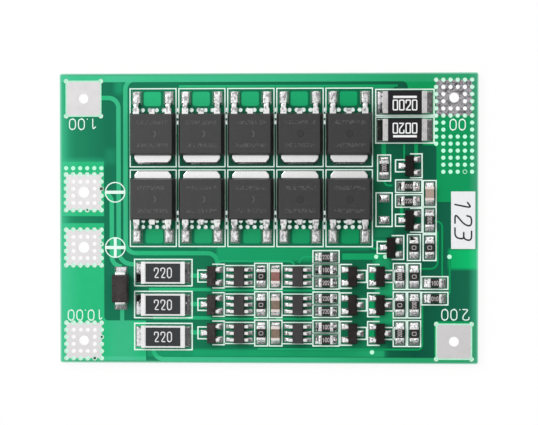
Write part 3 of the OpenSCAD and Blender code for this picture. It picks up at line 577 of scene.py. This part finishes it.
def moulding_look(name, tone, roughness, grain, specular, fineness=11.0):
    """Moulded black plastic with fine grain and flow marks."""
    look = Look(name, roughness, specular=specular)
    fine = look.noise(fineness, 4.0, 0.7)
    flow = look.noise(1.1, 4.0, 0.6, (1, 0.4, 1))
    blend = look.math("ADD", look.times(fine, 0.6), look.times(flow, 0.4))
    dark, pale = shaded(tone, max(0.2, 1 - 0.45 * grain)), shaded(tone, 1 + 0.7 * grain)
    look.colour(look.ramp(blend, [(0.34, dark), (0.5, tone), (0.68, pale)]))
    look.bump(look.math("ADD", fine, flow), 0.012, 0.5)
    return look


def grained_look(name, roughness, grain, stops, bump):
    """Two shades of one grain, from its noise values, its ramp stops and its bump values."""
    look = Look(name, roughness)
    pattern = look.noise(*grain)
    look.colour(look.ramp(pattern, stops))
    look.bump(pattern, *bump)
    return look


def ceramic_look():
    stops = [(0.3, (214, 214, 214)), (0.7, (240, 240, 240))]
    return grained_look("white_ceramic", 0.5, (8.0,), stops, (0.008, 0.4))


def paper_look():
    stops = [(0.25, (220, 222, 224)), (0.6, (240, 242, 244))]
    return grained_look("label_paper", 0.6, (9.0, 5.0, 0.7), stops, (0.012, 0.5))


def residue_look():
    """Dark burnt flux in a few holes."""
    stops = [(0.35, (34, 40, 30)), (0.65, (92, 100, 84))]
    return grained_look("flux_residue", 0.35, (5.0, 4.0, 0.7), stops, (0.03, 0.6))


def ink_look(name, tone, patchy=0.08):
    """Printed ink, a little uneven."""
    stops = [(0.3, shaded(tone, 1 - 2.5 * patchy)), (0.6, tone)]
    return grained_look(name, 0.5, (3.0, 4.0, 0.6), stops, (0.01, 0.4))


def mint_look(name, tone, through):
    """Thin pale solder mask stretched over a hole, letting a share of the light through."""
    look = Look(name, 0.3, specular=0.2)
    cloud = look.noise(2.5, 2.0)
    look.colour(look.ramp(cloud, [(0.3, tone), (0.7, shaded(tone, 1.1))]))
    look.give("Transmission Weight", through)
    look.give("IOR", 1.15)
    look.bump(cloud, 0.03, 0.5)
    return look


def capacitor_look(top_row):
    """Fired ceramic: reddish above the given row, tan below it and paler to the right."""
    look = Look("capacitor_ceramic", 0.45)
    grain = look.noise(4.5, 4.0, 0.65)
    tan = look.ramp(grain, [(0.3, (104, 86, 71)), (0.7, (140, 120, 102))])
    red = look.ramp(grain, [(0.3, (118, 72, 66)), (0.7, (158, 106, 100))])
    turn = (look.x, BOARD_L * 0.7, BOARD_L * 0.72)
    in_lane = look.times(look.step(look.y, top_row - 0.1, top_row + 0.1), look.step(*turn, 1, 0))
    tan = look.mix(look.step(*turn, 0, 0.45), tan, (205, 186, 172))
    look.colour(look.mix(in_lane, tan, red))
    look.bump(grain, 0.01, 0.5)
    return look


def transistor_body_look():
    """Moulded black, darker to the right as painted shade, with round ejector marks in painted shade and
    highlight, scratches and faint worn rows.
    """
    look = moulding_look("transistor_moulding", (56, 56, 57), 0.5, 0.25, 0.4)
    tone = look.painted_shade_along(look.tone, [(0.2, (255, 255, 255)), (0.45, (232, 232, 232)), (0.75, (200, 200, 200))])
    first, second = BODIES["u1"], BODIES["u2"]
    half_pitch = (second.x - first.x) / 2
    middle = (first.y + BODIES["l1"].y) / 2
    # Distances from the middle of the nearest body
    u = look.math("WRAP", look.math("SUBTRACT", look.x, first.x + 0.12), half_pitch, -half_pitch)
    v = look.math("ABSOLUTE", look.math("SUBTRACT", look.y, middle))
    v = look.math("SUBTRACT", v, first.y - middle)
    away = look.math("SQRT", look.math("ADD", look.times(u, u), look.times(v, v)))
    circle = look.band(away, 0.34, 0.42, 0.5, 0.58)
    # The ejector marks are shaded in paint: in the two right columns painted shade darkens each pit and its
    # ring, in the others a painted highlight pales the right arc of the ring
    turn = BODIES["u4"].x0
    right = look.step(look.x, turn - 0.3, turn - 0.2)
    pit = look.times(look.step(away, 0.42, 0.5, 1, 0), right, 0.42)
    tone = look.tint(tone, (26, 26, 27), look.math("MAXIMUM", look.times(circle, right, 0.75), pit))
    tone = look.tint(tone, (120, 118, 118), circle, look.step(u, 0.1, 0.25), look.rest(right), 0.34)
    # Two faint rows where marks have worn off
    rows = look.band(look.math("ABSOLUTE", v), 1.3, 1.4, 1.85, 1.95)
    length = look.step(look.math("ABSOLUTE", u), 2.0, 2.4, 1, 0)
    specks = look.step(look.noise(3.4, 1.0, 0.5, (1.6, 0.9, 1)), 0.5, 0.58, 0, 0.26)
    tone = look.tint(tone, (124, 120, 120), rows, length, specks)
    scratch = look.noise(2.2, 2.0, 0.5, (0.35, 6.0, 1))
    look.colour(look.tint(tone, (118, 116, 116), look.step(scratch, 0.66, 0.7, 0, 0.16)))
    return look


def transistor_metal_look():
    """Tin on the power transistors' frames: even on the tabs and darker to the right as painted shade, with
    grey patches in noise on the leads.
    """
    look = Look("transistor_metal", 0.3, metallic=1.0)
    grain = look.noise(7.0, 5.0, 0.7)
    even = look.ramp(grain, [(0.3, (226, 225, 225)), (0.6, (244, 243, 243))])
    # Painted shade: the tin grows darker towards the right of the board
    even = look.painted_shade_along(even, [(0.5, (255, 255, 255)), (0.72, (240, 240, 240))])
    above, below = BODIES["u1"].y1, BODIES["l1"].y0
    leads = look.rest(look.band(look.y, below - 0.2, below, above, above + 0.2))
    grey_patches = look.step(look.noise(2.6, 3.0, 0.6, (1, 0.6, 1)), 0.46, 0.6, 0, 0.75)
    look.colour(look.tint(even, (118, 116, 120), grey_patches, leads))
    look.bump(grain, 0.012, 0.6)
    return look


TAB_LAND_AREA = 9


def land_look():
    """Tinned lands; under the transistors' tabs they show mask instead, darkened as painted shade where the
    bodies shade it.
    """
    look = Look("tinned_land", 0.3, metallic=1.0, specular=0.06)
    grain = look.noise(7.0, 4.0, 0.7)
    tin = look.ramp(grain, [(0.3, (170, 168, 168)), (0.5, (214, 212, 210)), (0.72, (236, 234, 232))])
    wide = [land for land in LANDS if land.w * land.h > TAB_LAND_AREA]
    middle = sum(land.y for land in wide) / len(wide)
    covered = 0.0
    for side in (1, -1):
        row = hull([land for land in wide if (land.y - middle) * side > 0])
        patch = look.field(row.x0 - 0.1, row.y0 - 0.1, row.x1 + 0.1, row.y1 + 0.1, 0.02)
        covered = look.math("MAXIMUM", covered, patch)
    # Painted shade: mask green darkened as it is in the shade between the two rows of transistors
    dark = look.ramp(grain, [(0.3, (16, 60, 48)), (0.7, (34, 92, 72))])
    look.colour(look.mix(covered, tin, dark))
    look.give("Metallic", look.rest(covered))
    look.bump(grain, 0.02, 0.6)
    return look


def small_moulding_look():
    """Brownish black of the small parts, darker to the right as painted shade."""
    look = moulding_look("small_moulding", (56, 52, 51), 0.6, 1.4, 0.12, 4.0)
    stops = [(0.45, (255, 255, 255)), (0.7, (186, 180, 180)), (0.8, (136, 130, 130))]
    look.colour(look.painted_shade_along(look.tone, stops))
    return look


SOLDER = solder_look("solder", 0.06, (110, 108, 114), (236, 235, 236), 0.5)
SMOOTH_SOLDER = solder_look("smooth_solder", 0.03, (150, 148, 152), (206, 204, 206), 0.6)
LEAD_SOLDER = solder_look("lead_solder", 0.05, (120, 118, 122), (214, 212, 213), 0.75)
CAP_METAL = tin_look("end_cap_metal", (242, 241, 242), 0.28, 0.03)
SILK = ink_look("white_print", (232, 255, 245), 0.02)
RAISED = raised_mask_look()

# ---- solder

# How far solder keeps off the edges of a land, and over what width it rises from there
SKIN_INSET = 0.012
SKIRT = 0.14
LEAST_OVERLAP = 0.05


def overlap(land, metal):
    """The plan rectangle where metal stands on a land, or nothing."""
    foot = Box(max(land.x0, metal.x0), max(land.y0, metal.y0), min(land.x1, metal.x1), min(land.y1, metal.y1))
    return None if foot.w < LEAST_OVERLAP or foot.h < LEAST_OVERLAP else foot


def outside(foot, x, y):
    """Distance from a point to a plan rectangle."""
    return math.hypot(max(foot.x0 - x, 0.0, x - foot.x1), max(foot.y0 - y, 0.0, y - foot.y1))


def rim_distance(land, x, y):
    return min(x - land.x0, land.x1 - x, y - land.y0, land.y1 - y)


def unevenness(x, y, scale, layer, height):
    """Noise over the board, the same in every run; layer picks the pattern."""
    return noise.noise(Vector((x * scale, y * scale, layer))) * height


def fillet(land, foot, climb, reach, swell):
    """The height of the solder on a land around the foot of a lead."""

    def height(x, y):
        skirt = math.sqrt(max(0.0, min(1.0, rim_distance(land, x, y) / SKIRT)))
        rise = max(0.0, 1 - outside(foot, x, y) / reach)
        uneven = unevenness(x, y, 2.3, 7.0, 0.045) + unevenness(x, y, 7.0, 3.0, 0.018)
        solder = swell + climb * rise ** 1.7 + uneven * (0.3 + rise)
        return Z_SKIN_EDGE + max(0.0, solder) * skirt

    return height


def pillow(land, rise):
    """The height of solder that froze on a bare land, with its creases."""

    def height(x, y):
        share = max(0.0, min(1.0, rim_distance(land, x, y) / (min(land.w, land.h) / 2)))
        uneven = unevenness(x, y, 3.0, 1.0, 0.02) * share
        return Z_SKIN_EDGE + rise * (1 - (1 - share) ** 1.8) + uneven

    return height


def shrunk(land):
    return Box(land.x0 + SKIN_INSET, land.y0 + SKIN_INSET, land.x1 - SKIN_INSET, land.y1 - SKIN_INSET)


def standing(metals):
    """Each piece of metal with the soldered area of a land that it stands on and its foot there."""
    for metal in metals:
        for land in LANDS:
            foot = overlap(land, metal)
            if foot:
                yield metal, shrunk(land), foot


def joint_solder(name, look, feet, step, reach, swell, climb, share=math.inf):
    """Fillets round feet of metal, which climb no more than a share of the metal's height."""
    shape = Shape()
    for metal, area, foot in feet:
        rise = min(climb, (metal.z1 - Z_LAND) * share)
        shape.skin(area, step, fillet(area, foot, rise, reach, swell))
    shape.make(name, look, "solder", smooth=True)


def passive_solder():
    """Solder of the chips, of the shunts, bleeders and diode, and of the small leaded parts."""
    feet = standing(islands("chip_resistor_ends", "chip_capacitor_ends"))
    joint_solder("chip_solder", SOLDER, feet, 0.075, reach=0.62, swell=0.07, climb=0.46, share=0.88)
    feet = standing(islands("shunt_ends", "diode_leads") + islands("bleeder_ends"))
    joint_solder("wide_chip_solder", SMOOTH_SOLDER, feet, 0.1, reach=0.8, swell=0.06, climb=0.5, share=0.82)
    feet = standing(islands("_transistor_leads", "monitor_leads"))
    joint_solder("small_lead_solder", SOLDER, feet, 0.07, reach=0.34, swell=0.05, climb=0.15)


def tab_solder(shape, foot, side):
    """Solder round the end of a tab; side is 1 where the tab points down the board."""
    end, past = (foot.y0, 0.3) if side == 1 else (foot.y1, 0.05)
    cut, under, height = 0.5, 1.1, 0.14
    far, back = end - side * past, end + side * under
    corner = far + side * cut
    x0, x1 = foot.x0 + 0.05, foot.x1 - 0.05
    points = [(x0 + cut, far), (x1 - cut, far), (x1, corner), (x1, back), (x0, back), (x0, corner)]
    if side == -1:
        points.reverse()
    shape.slab(points, Z_SKIN_BASE, Z_LAND + height, 0.03)


def transistor_solder():
    """Solder around the leads of the power transistors and in front of their tabs."""
    shape = Shape()
    for code in FET_CODES:
        frames = islands(f"transistor_frame_{code}")
        slug = max(frames, key=lambda b: b.w * b.h)
        for metal, area, foot in standing(frames):
            if metal is slug:
                tab_solder(shape, foot, 1 if code[0] == "u" else -1)
            else:
                shape.skin(area, 0.08, fillet(area, foot, climb=0.36, reach=0.5, swell=0.1))
    shape.make("transistor_solder", LEAD_SOLDER, "solder", smooth=True)


def spare_lands():
    """The two lands that carry no part."""
    metals = islands("leads", "ends", "frame")
    return [land for land in LANDS if not any(overlap(land, metal) for metal in metals)]


def spare_solder():
    """Pillows of solder on the two lands that carry no part."""
    shape = Shape()
    for area in map(shrunk, spare_lands()):
        shape.skin(area, 0.08, pillow(area, rise=0.32))
    shape.make("spare_solder", SOLDER, "solder", smooth=True)


# ---- holes

MASK_SLOT = "solder_mask_over_copper"
# Levels of the films over the covered vias and in the terminals' outer holes, and their points
VIA_FILM = (Z_COPPER - 0.06, Z_COPPER - 0.012)
Z_RIM_FILM = Z_LAND - 0.02
FILM_POINTS = 20
# Holes narrower than the first are covered vias, and holes wider than the second take wires
PLATED_HOLE = 0.64
WIRE_HOLE = 1.3
# Where the outer row of a terminal's holes lies, out from the edge of its metal
RIM_ROW_IN = -0.7
RIM_ROW_OUT = 0.4
# Holes that burnt flux has darkened: terminal, how far right and up of its middle, size of the dark spot
DARK_HOLES = [("negative_terminal", 2.45, 0.5, 0.75), ("negative_terminal", 0.45, -2.35, 0.45),
              ("tap_terminal_3", 2.45, 0.4, 0.5), ("tap_terminal_3", 1.5, -2.6, 0.6),
              ("positive_terminal", 2.35, 0.6, 0.3)]
# The one via that the mask has filled, and the radius and width of the pale ring round it
FILLED_HOLE = ("tap_terminal_0", 1.5, -10.45)
FILLED_RING_R = 0.27
FILLED_RING_W = 0.08
# Half the square along the pale rim of a terminal without vias, and the rim's width
RIM_HALF = 2.5
RIM_W = 0.2


def in_terminal_rim(hole):
    """Whether a hole lies in the outer row of a terminal's grid."""
    pads = [box(name) for name in named("terminal")]
    past = [max(abs(hole.x - pad.x), abs(hole.y - pad.y)) - pad.w / 2 for pad in pads]
    return any(RIM_ROW_IN < away < RIM_ROW_OUT for away in past)


def near(hole, node, right, up, reach=0.3):
    """Whether a hole lies at a place given from the middle of a node."""
    middle = box(node)
    return math.hypot(hole.x - middle.x - right, hole.y - middle.y - up) < reach


def via_films():
    """Films of mask over the covered vias and over the outer rows of the terminals."""
    supply, rim, filled, bright = Shape(), Shape(), Shape(), Shape()
    past = 1
    left, right = BODIES["u1"].x0 - past, BODIES["u5"].x1 + past
    low = box("transistor_frame_l1").y0 - past
    for hole in HOLES:
        if hole.w < PLATED_HOLE:
            target = bright if left < hole.x < right and hole.y > low else supply
            if near(hole, *FILLED_HOLE):
                target = filled
                pale = ring(hole.x, hole.y, FILLED_RING_R)
                supply.stroke(pale, FILLED_RING_W, Z_COPPER - 0.02, Z_COPPER + 0.004, True)
            target.slab(ring(hole.x, hole.y, hole.w / 2 + 0.02, FILM_POINTS), *VIA_FILM)
        elif hole.w < WIRE_HOLE and in_terminal_rim(hole):
            film = ring(hole.x, hole.y, hole.w / 2 - 0.01, FILM_POINTS)
            rim.slab(film, Z_RIM_FILM - 0.05, Z_RIM_FILM)
    # Painted light: the supply vias' film lets no light through, and its pale mint tone stands in for the
    # white ground glowing under the holes; the whiter film between the transistors is partly painted light
    # too, beside the light it lets through
    supply.make("mask_over_vias", mint_look("mint_mask", (192, 255, 222), 0.0), MASK_SLOT)
    rim.make("mask_in_terminals", mint_look("pale_mint_mask", (206, 255, 228), 0.85), MASK_SLOT)
    bright.make("mask_between_transistors", mint_look("white_mint_mask", (236, 255, 246), 0.8), MASK_SLOT)
    if filled.points:
        filled.make("mask_in_one_via", RAISED, MASK_SLOT)


def pad_borders():
    """The pale rim of the mask round the two terminals without a grid of vias."""
    shape = Shape()
    for pad in (box("tap_terminal_1"), box("tap_terminal_2")):
        shape.frame(pad.x - RIM_HALF, pad.y - RIM_HALF, pad.x + RIM_HALF, pad.y + RIM_HALF, RIM_W,
                    Z_COPPER - 0.02, Z_LAND + 0.006)
    shape.make("mask_rims_of_terminals", mint_look("rim_mint", (176, 232, 204), 0.0), MASK_SLOT)


def dark_rings():
    """Burnt flux round a few holes of the terminals."""
    shape = Shape()
    for node, right, up, share in DARK_HOLES:
        for hole in HOLES:
            if PLATED_HOLE < hole.w < WIRE_HOLE and near(hole, node, right, up, 0.45):
                spot = ring(hole.x, hole.y, share * (hole.w / 2 - 0.02), FILM_POINTS)
                shape.slab(spot, Z_RIM_FILM - 0.3, Z_RIM_FILM + 0.004)
    if shape.points:
        shape.make("flux_in_vias", residue_look())


# ---- print

INK_W = 0.18
THIN_INK_W = 0.16
Z_INK = Z_COPPER + 0.02
PRINT = (Z_TOP, Z_INK)
# Numbers on parts start inside them and stand this far out
INK_UNDER = 0.01
INK_OVER = 0.012
# Half sizes of printed frames, and how far others pass what they go round
FET_FRAME = 3.315
UPPER_PAST = (0.65, 0.45)
LOWER_PAST = (0.7, 0.2)
WIDE_FRAME = 4.15
SHUNT_FRAME = 1.85
BLEEDER_FRAME = 1.9
CHIP_MARGIN = (0.27, 0.25)


def on_top(part, over=INK_OVER):
    """The levels of ink on a part."""
    return part.z1 - INK_UNDER, part.z1 + over


def frame_round(shape, boxes, past, below, above, width=INK_W):
    """A printed frame that passes some boxes by given margins at the sides, below and above."""
    b = hull(boxes)
    shape.frame(b.x0 - past, b.y0 - below, b.x1 + past, b.y1 + above, width, *PRINT)


def bracket(shape, x, far, y, half):
    """Three sides of a printed rectangle that is open at x."""
    shape.stroke([(x, y + half), (far, y + half), (far, y - half), (x, y - half)], INK_W, *PRINT)


def transistor_outlines():
    shape = Shape()
    for code in FET_CODES:
        x = BODIES[code].x
        metal = box(f"transistor_frame_{code}")
        below, above = UPPER_PAST if code[0] == "u" else LOWER_PAST
        y0, y1 = metal.y0 - below, metal.y1 + above
        shape.frame(x - FET_FRAME, y0, x + FET_FRAME, y1, THIN_INK_W, *PRINT)
    shape.make("printed_transistor_outlines", SILK)


def wide_outlines():
    shape = Shape()
    for word, half in (("shunt_ends", SHUNT_FRAME), ("bleeder_ends", BLEEDER_FRAME)):
        for ends in map(box, named(word)):
            shape.frame(ends.x - WIDE_FRAME, ends.y - half, ends.x + WIDE_FRAME, ends.y + half, INK_W, *PRINT)
    shape.make("printed_wide_outlines", SILK)


def chip_outlines():
    """A frame round the two lands of each chip."""
    shape = Shape()
    ends = islands("chip_resistor_ends", "chip_capacitor_ends")
    past, above = CHIP_MARGIN
    for body in islands("chip_resistor_bodies", "chip_capacitor_bodies"):
        pads = [land for land in LANDS for end in nearest(body, ends, 2) if overlap(land, end)]
        frame_round(shape, pads, past, above, above, 0.17)
    shape.make("printed_chip_outlines", SILK)


def three_lead_outlines():
    """A box on the side of the single lead and a bracket on the side of the pair."""
    shape = Shape()
    leads = islands("_transistor_leads")
    for body in islands("_transistor_bodies"):
        left = [lead for lead in nearest(body, leads, 3) if lead.x < body.x]
        single = -1 if len(left) == 1 else 1
        edge = body.x + single * (body.w / 2 + 0.03)
        bracket(shape, edge, body.x + single * 1.98, body.y, half=0.85)
        bracket(shape, body.x - single * 0.15, body.x - single * 1.8, body.y, half=1.7)
    shape.make("printed_three_lead_outlines", SILK)


def six_lead_outlines():
    """A line along each row of leads of the six-lead parts."""
    shape = Shape()
    for body in islands("monitor_bodies"):
        for side in (-1, 1):
            y = body.y + side * 1.52
            shape.stroke([(body.x - 2.15, y), (body.x + 2.08, y)], THIN_INK_W, *PRINT)
    shape.make("printed_six_lead_outlines", SILK)


def signs():
    """The circled minus and plus beside the power terminals."""
    shape = Shape()
    away, radius, bar, half_w, upright = 4.55, 1.41, 1.36, 0.23, 0.2
    for name in ("negative_terminal", "positive_terminal"):
        x, y = box(name).x + away, box(name).y
        shape.stroke(ring(x, y, radius, 48), THIN_INK_W, *PRINT, True)
        shape.rect(x - bar, y - half_w, x + bar, y + half_w, Z_TOP, Z_INK + 0.001)
        if name == "positive_terminal":
            shape.rect(x - upright, y - bar, x + upright, y + bar, Z_TOP, Z_INK + 0.002)
    shape.make("printed_signs", SILK)


def terminal_numbers():
    """Plain numbers beside the tap terminals, read from the top edge of the board."""
    shape = Shape()
    for text, tap, right, up, height in (("1.00", 1, -0.1, -3.67, 1.5), ("10.00", 3, 0.2, 3.65, 1.45),
                                         ("2.00", 2, 0.2, 3.85, 1.5), ("00", 0, 0.5, -3.85, 1.5)):
        pad = box(f"tap_terminal_{tap}")
        place = (pad.x + right, pad.y + up)
        write(shape, text, place, PRINT, 180, height, line=0.145, wide=0.58, gap=0.28)
    shape.make("printed_terminal_numbers", SILK)


def spare_outline():
    """A frame round the two lands that carry no part."""
    shape = Shape()
    frame_round(shape, spare_lands(), 0.4, 0.37, 0.23)
    shape.make("printed_spare_outline", SILK)


def shunt_numbers():
    """A number with a bar on each shunt; the two shunts face opposite ways."""
    shape = Shape()
    for name, turn, side, low in (("a", 0, 1, 0.16), ("b", 180, -1, 0.0)):
        body = box(f"shunt_body_{name}")
        place = (body.x, body.y - side * 0.25 - low)
        write(shape, "0020", place, on_top(body), turn, height=1.38, line=0.175, wide=0.44, gap=0.22,
              soft=0.08)
        bar, half_w, bar_y = 1.68, 0.16, body.y + side * 0.9 - low
        shape.rect(body.x - bar, bar_y - half_w, body.x + bar, bar_y + half_w, *on_top(body))
    shape.make("numbers_on_shunts", ink_look("white_ink", (244, 244, 244), 0.03))


def bleeder_numbers():
    shape = Shape()
    for body in map(box, named("bleeder_body")):
        levels = on_top(box("bleeder_films"))
        write(shape, "220", (body.x, body.y), levels, 0, height=1.36, line=0.15, wide=0.42, gap=0.27,
              soft=0.26)
    shape.make("numbers_on_bleeders", ink_look("grey_ink", (236, 234, 236)))


def chip_numbers():
    """Small numbers along the chips; the ones that lie along the board carry three digits."""
    shape = Shape()
    for i, body in enumerate(islands("chip_resistor_bodies")):
        turn = 0 if body.w > body.h else 90
        text = ("100", "220", "010", "202")[i % 4] if turn == 0 else ("0", "0", "200")[i % 3]
        wide = 0.85 if text == "0" else 0.4
        write(shape, text, (body.x, body.y), on_top(body), turn, height=0.56, line=0.08, wide=wide, gap=0.24,
              soft=0.25)
    shape.make("numbers_on_chips", ink_look("chip_ink", (196, 190, 190)))


def label_number():
    """A thin slanted number along the paper label."""
    label = box("sticker")
    shape = Shape()
    write(shape, "123", (label.x, label.y + 0.05), on_top(label, 0.01), -90, height=2.35, line=0.23,
          wide=0.58, gap=0.3, soft=0.3, slant=0.2)
    shape.make("number_on_label", ink_look("dark_ink", (22, 24, 28), 0.04))


# ---- CAD nodes


def dress(look, width, *words):
    """Gives the CAD nodes that some words name a look and, with a width in millimetres, soft edges."""
    for name in named(*words):
        obj = nodes[name]
        obj.data.materials.clear()
        obj.data.materials.append(look.material)
        if width:
            weld = obj.modifiers.new("weld", "WELD")
            weld.merge_threshold = 1e-6
            bevel = obj.modifiers.new("soft_edges", "BEVEL")
            bevel.width = width * MM
            bevel.segments = 2
            bevel.limit_method = "ANGLE"
            bevel.angle_limit = math.radians(35)


def dress_board():
    dress(laminate_look(), 0, "wiring_board")
    dress(RAISED, 0, "covered_copper")
    dress(land_look(), 0, "solder_lands")
    bright = tin_look("bright_tin", (222, 220, 221), 0.32, 0.01, bump=0.006, painted_bright_walls=True)
    dress(bright, 0, "negative_terminal", "positive_terminal", "tap_terminal_3")
    even = tin_look("even_tin", (208, 206, 207), 0.34, 0.008, bump=0.005, painted_bright_walls=True)
    dress(even, 0, "tap_terminal_1")
    worn = tin_look("worn_tin", (222, 220, 220), 0.36, 0.025, bump=0.01, painted_bright_walls=True)
    dress(worn, 0, "tap_terminal_2")
    dull = tin_look("dull_tin", (160, 158, 162), 0.42, 0.16, bump=0.04, painted_bright_walls=True, grain_size=4.2,
                    spread=0.07)
    dress(dull, 0, "tap_terminal_0")
    dress(paper_look(), 0.02, "sticker")


def dress_wide_parts():
    """The power transistors, shunts, bleeders and diode."""
    dress(transistor_body_look(), 0.09, "transistor_body")
    dress(transistor_metal_look(), 0.07, "transistor_frame")
    dress(moulding_look("shunt_coating", (28, 27, 30), 0.5, 0.5, 0.15), 0.06, "shunt_body")
    ends = tin_look("shunt_end_metal", (203, 201, 201), 0.34, 0.12, (1.6, 0.25, 1), 0.03)
    dress(ends, 0.08, "shunt_ends")
    dress(ceramic_look(), 0.04, "bleeder_body")
    dress(CAP_METAL, 0.07, "bleeder_ends")
    dress(moulding_look("resistor_film", (44, 47, 50), 0.42, 0.3, 0.3), 0.02, "bleeder_films")
    dress(moulding_look("diode_moulding", (50, 43, 44), 0.6, 1.5, 0.3, 3.6), 0.08, "diode_body")
    dress(CAP_METAL, 0.05, "diode_leads")


def dress_small_parts():
    """The small leaded parts and the chips."""
    dress(small_moulding_look(), 0.06, "_transistor_bodies")
    lead_metal = tin_look("lead_metal", (242, 241, 241), 0.3, 0.02, bump=0.012)
    dress(lead_metal, 0.04, "_transistor_leads", "monitor_leads")
    dress(moulding_look("monitor_moulding", (50, 48, 49), 0.5, 0.6, 0.35), 0.06, "monitor_bodies")
    dress(moulding_look("chip_glaze", (34, 31, 33), 0.4, 0.6, 0.3), 0.03, "chip_resistor_bodies")
    dress(CAP_METAL, 0.05, "chip_resistor_ends")
    dress(capacitor_look(box("lane_3_transistor_bodies").y0), 0.05, "chip_capacitor_bodies")
    dress(tin_look("pink_end_metal", (236, 224, 220), 0.32, 0.05), 0.07, "chip_capacitor_ends")


# ---- ground, light and camera

# In metres
GROUND_REACH = 0.9
GROUND_Z = -0.00003
LAMP_PLACE = Vector((-0.42, 0.3, 0.55))
LAMP_SIZE = 0.35
SKY_STRENGTH = 1.42
KEY_SHARE = 0.26
WHITE = (255, 255, 255)


def ground_look():
    """White to the camera, in reflections and through thin mask, with a soft shadow left in it."""
    look = bpy.data.materials.new("white_ground")
    look.use_nodes = True
    look.node_tree.nodes.clear()
    tree = Tree(look.node_tree)
    paper = tree.add("BsdfDiffuse", {"Color": WHITE})
    glow = tree.add("Emission", {"Color": WHITE, "Strength": 1.0})
    path = tree.add("LightPath").outputs
    shown = tree.math("MAXIMUM", path["Is Camera Ray"], path["Is Glossy Ray"])
    shown = tree.math("MAXIMUM", shown, path["Is Transmission Ray"])
    point = tree.add("TexCoord").outputs["Object"]
    away = tree.add("SeparateXYZ", {0: tree.add("VectorMath", {0: point}, operation="ABSOLUTE").outputs[0]})
    # All glow where the ground shows through the board's holes
    under = []
    for axis, size in ((0, BOARD_L), (1, BOARD_W)):
        low, high = (size / 2 - 0.3) * MM, (size / 2 - 0.6) * MM
        under.append(tree.step(away.outputs[axis], low, high, kind="LINEAR"))
    share = tree.step(tree.math("MINIMUM", *under), 0, 1, 0.9, 1, "LINEAR")
    both = tree.add("MixShader", {0: tree.times(shown, share), 1: paper.outputs[0], 2: glow.outputs[0]})
    tree.add("OutputMaterial", {"Surface": both.outputs[0]})
    return look


def ground():
    """A wide white floor just under the board."""
    mesh = bpy.data.meshes.new("ground")
    corners = [(-1, -1), (1, -1), (1, 1), (-1, 1)]
    mesh.from_pydata([(u * GROUND_REACH, v * GROUND_REACH, GROUND_Z) for u, v in corners], [], [[0, 1, 2, 3]])
    floor = link_to_scene("ground", mesh)
    floor.data.materials.append(ground_look())


def sky():
    """A pale sky, brighter to the upper left and dark low down on the right."""
    world = bpy.data.worlds.new("studio")
    scene.world = world
    world.use_nodes = True
    tree = Tree(world.node_tree)
    point = tree.add("TexCoord").outputs["Generated"]
    toward = tree.add("VectorMath", {0: point, 1: (-0.8, 0.6, 0.0)}, operation="DOT_PRODUCT")
    stops = [(0.0, 0.1), (0.2, 0.14), (0.35, 0.42), (0.5, 0.66), (0.68, 0.84), (0.85, 1.0), (0.91, 0.5),
             (0.96, 0.14), (1.0, 0.1)]
    share = tree.step(toward.outputs["Value"], -1, 1, kind="LINEAR")
    levels = tree.ramp(share, [(position, (level, level, level, 1)) for position, level in stops])
    back = world.node_tree.nodes["Background"].inputs
    tree.feed(back["Color"], levels)
    tree.feed(back["Strength"], SKY_STRENGTH)


def key_light():
    """A wide soft lamp to the upper left."""
    data = bpy.data.lights.new("key", "AREA")
    data.shape = "RECTANGLE"
    data.size = data.size_y = LAMP_SIZE
    # Power that lights a white surface at the middle to the wanted share
    distance = LAMP_PLACE.length
    slant = LAMP_PLACE.z / distance
    data.energy = KEY_SHARE * math.pi * distance ** 2 * math.pi / slant
    lamp = link_to_scene("key", data)
    lamp.location = LAMP_PLACE
    lamp.rotation_euler = LAMP_PLACE.to_track_quat("Z", "Y").to_euler()


def camera():
    data = bpy.data.cameras.new("camera")
    data.lens = 118.3
    data.sensor_width = 36
    data.clip_start = 0.01
    view = link_to_scene("camera", data)
    view.location = (0.01263, 0.00529, 0.25418)
    view.rotation_euler = Euler((math.radians(-1.009), math.radians(2.825), math.radians(-0.044)))
    scene.camera = view


# ---- the scene


passive_solder()
transistor_solder()
spare_solder()
via_films()
pad_borders()
dark_rings()
transistor_outlines()
wide_outlines()
chip_outlines()
three_lead_outlines()
six_lead_outlines()
signs()
terminal_numbers()
spare_outline()
shunt_numbers()
bleeder_numbers()
chip_numbers()
label_number()
dress_board()
dress_wide_parts()
dress_small_parts()
ground()
sky()
key_light()
camera()
scene.view_settings.view_transform = "Standard"
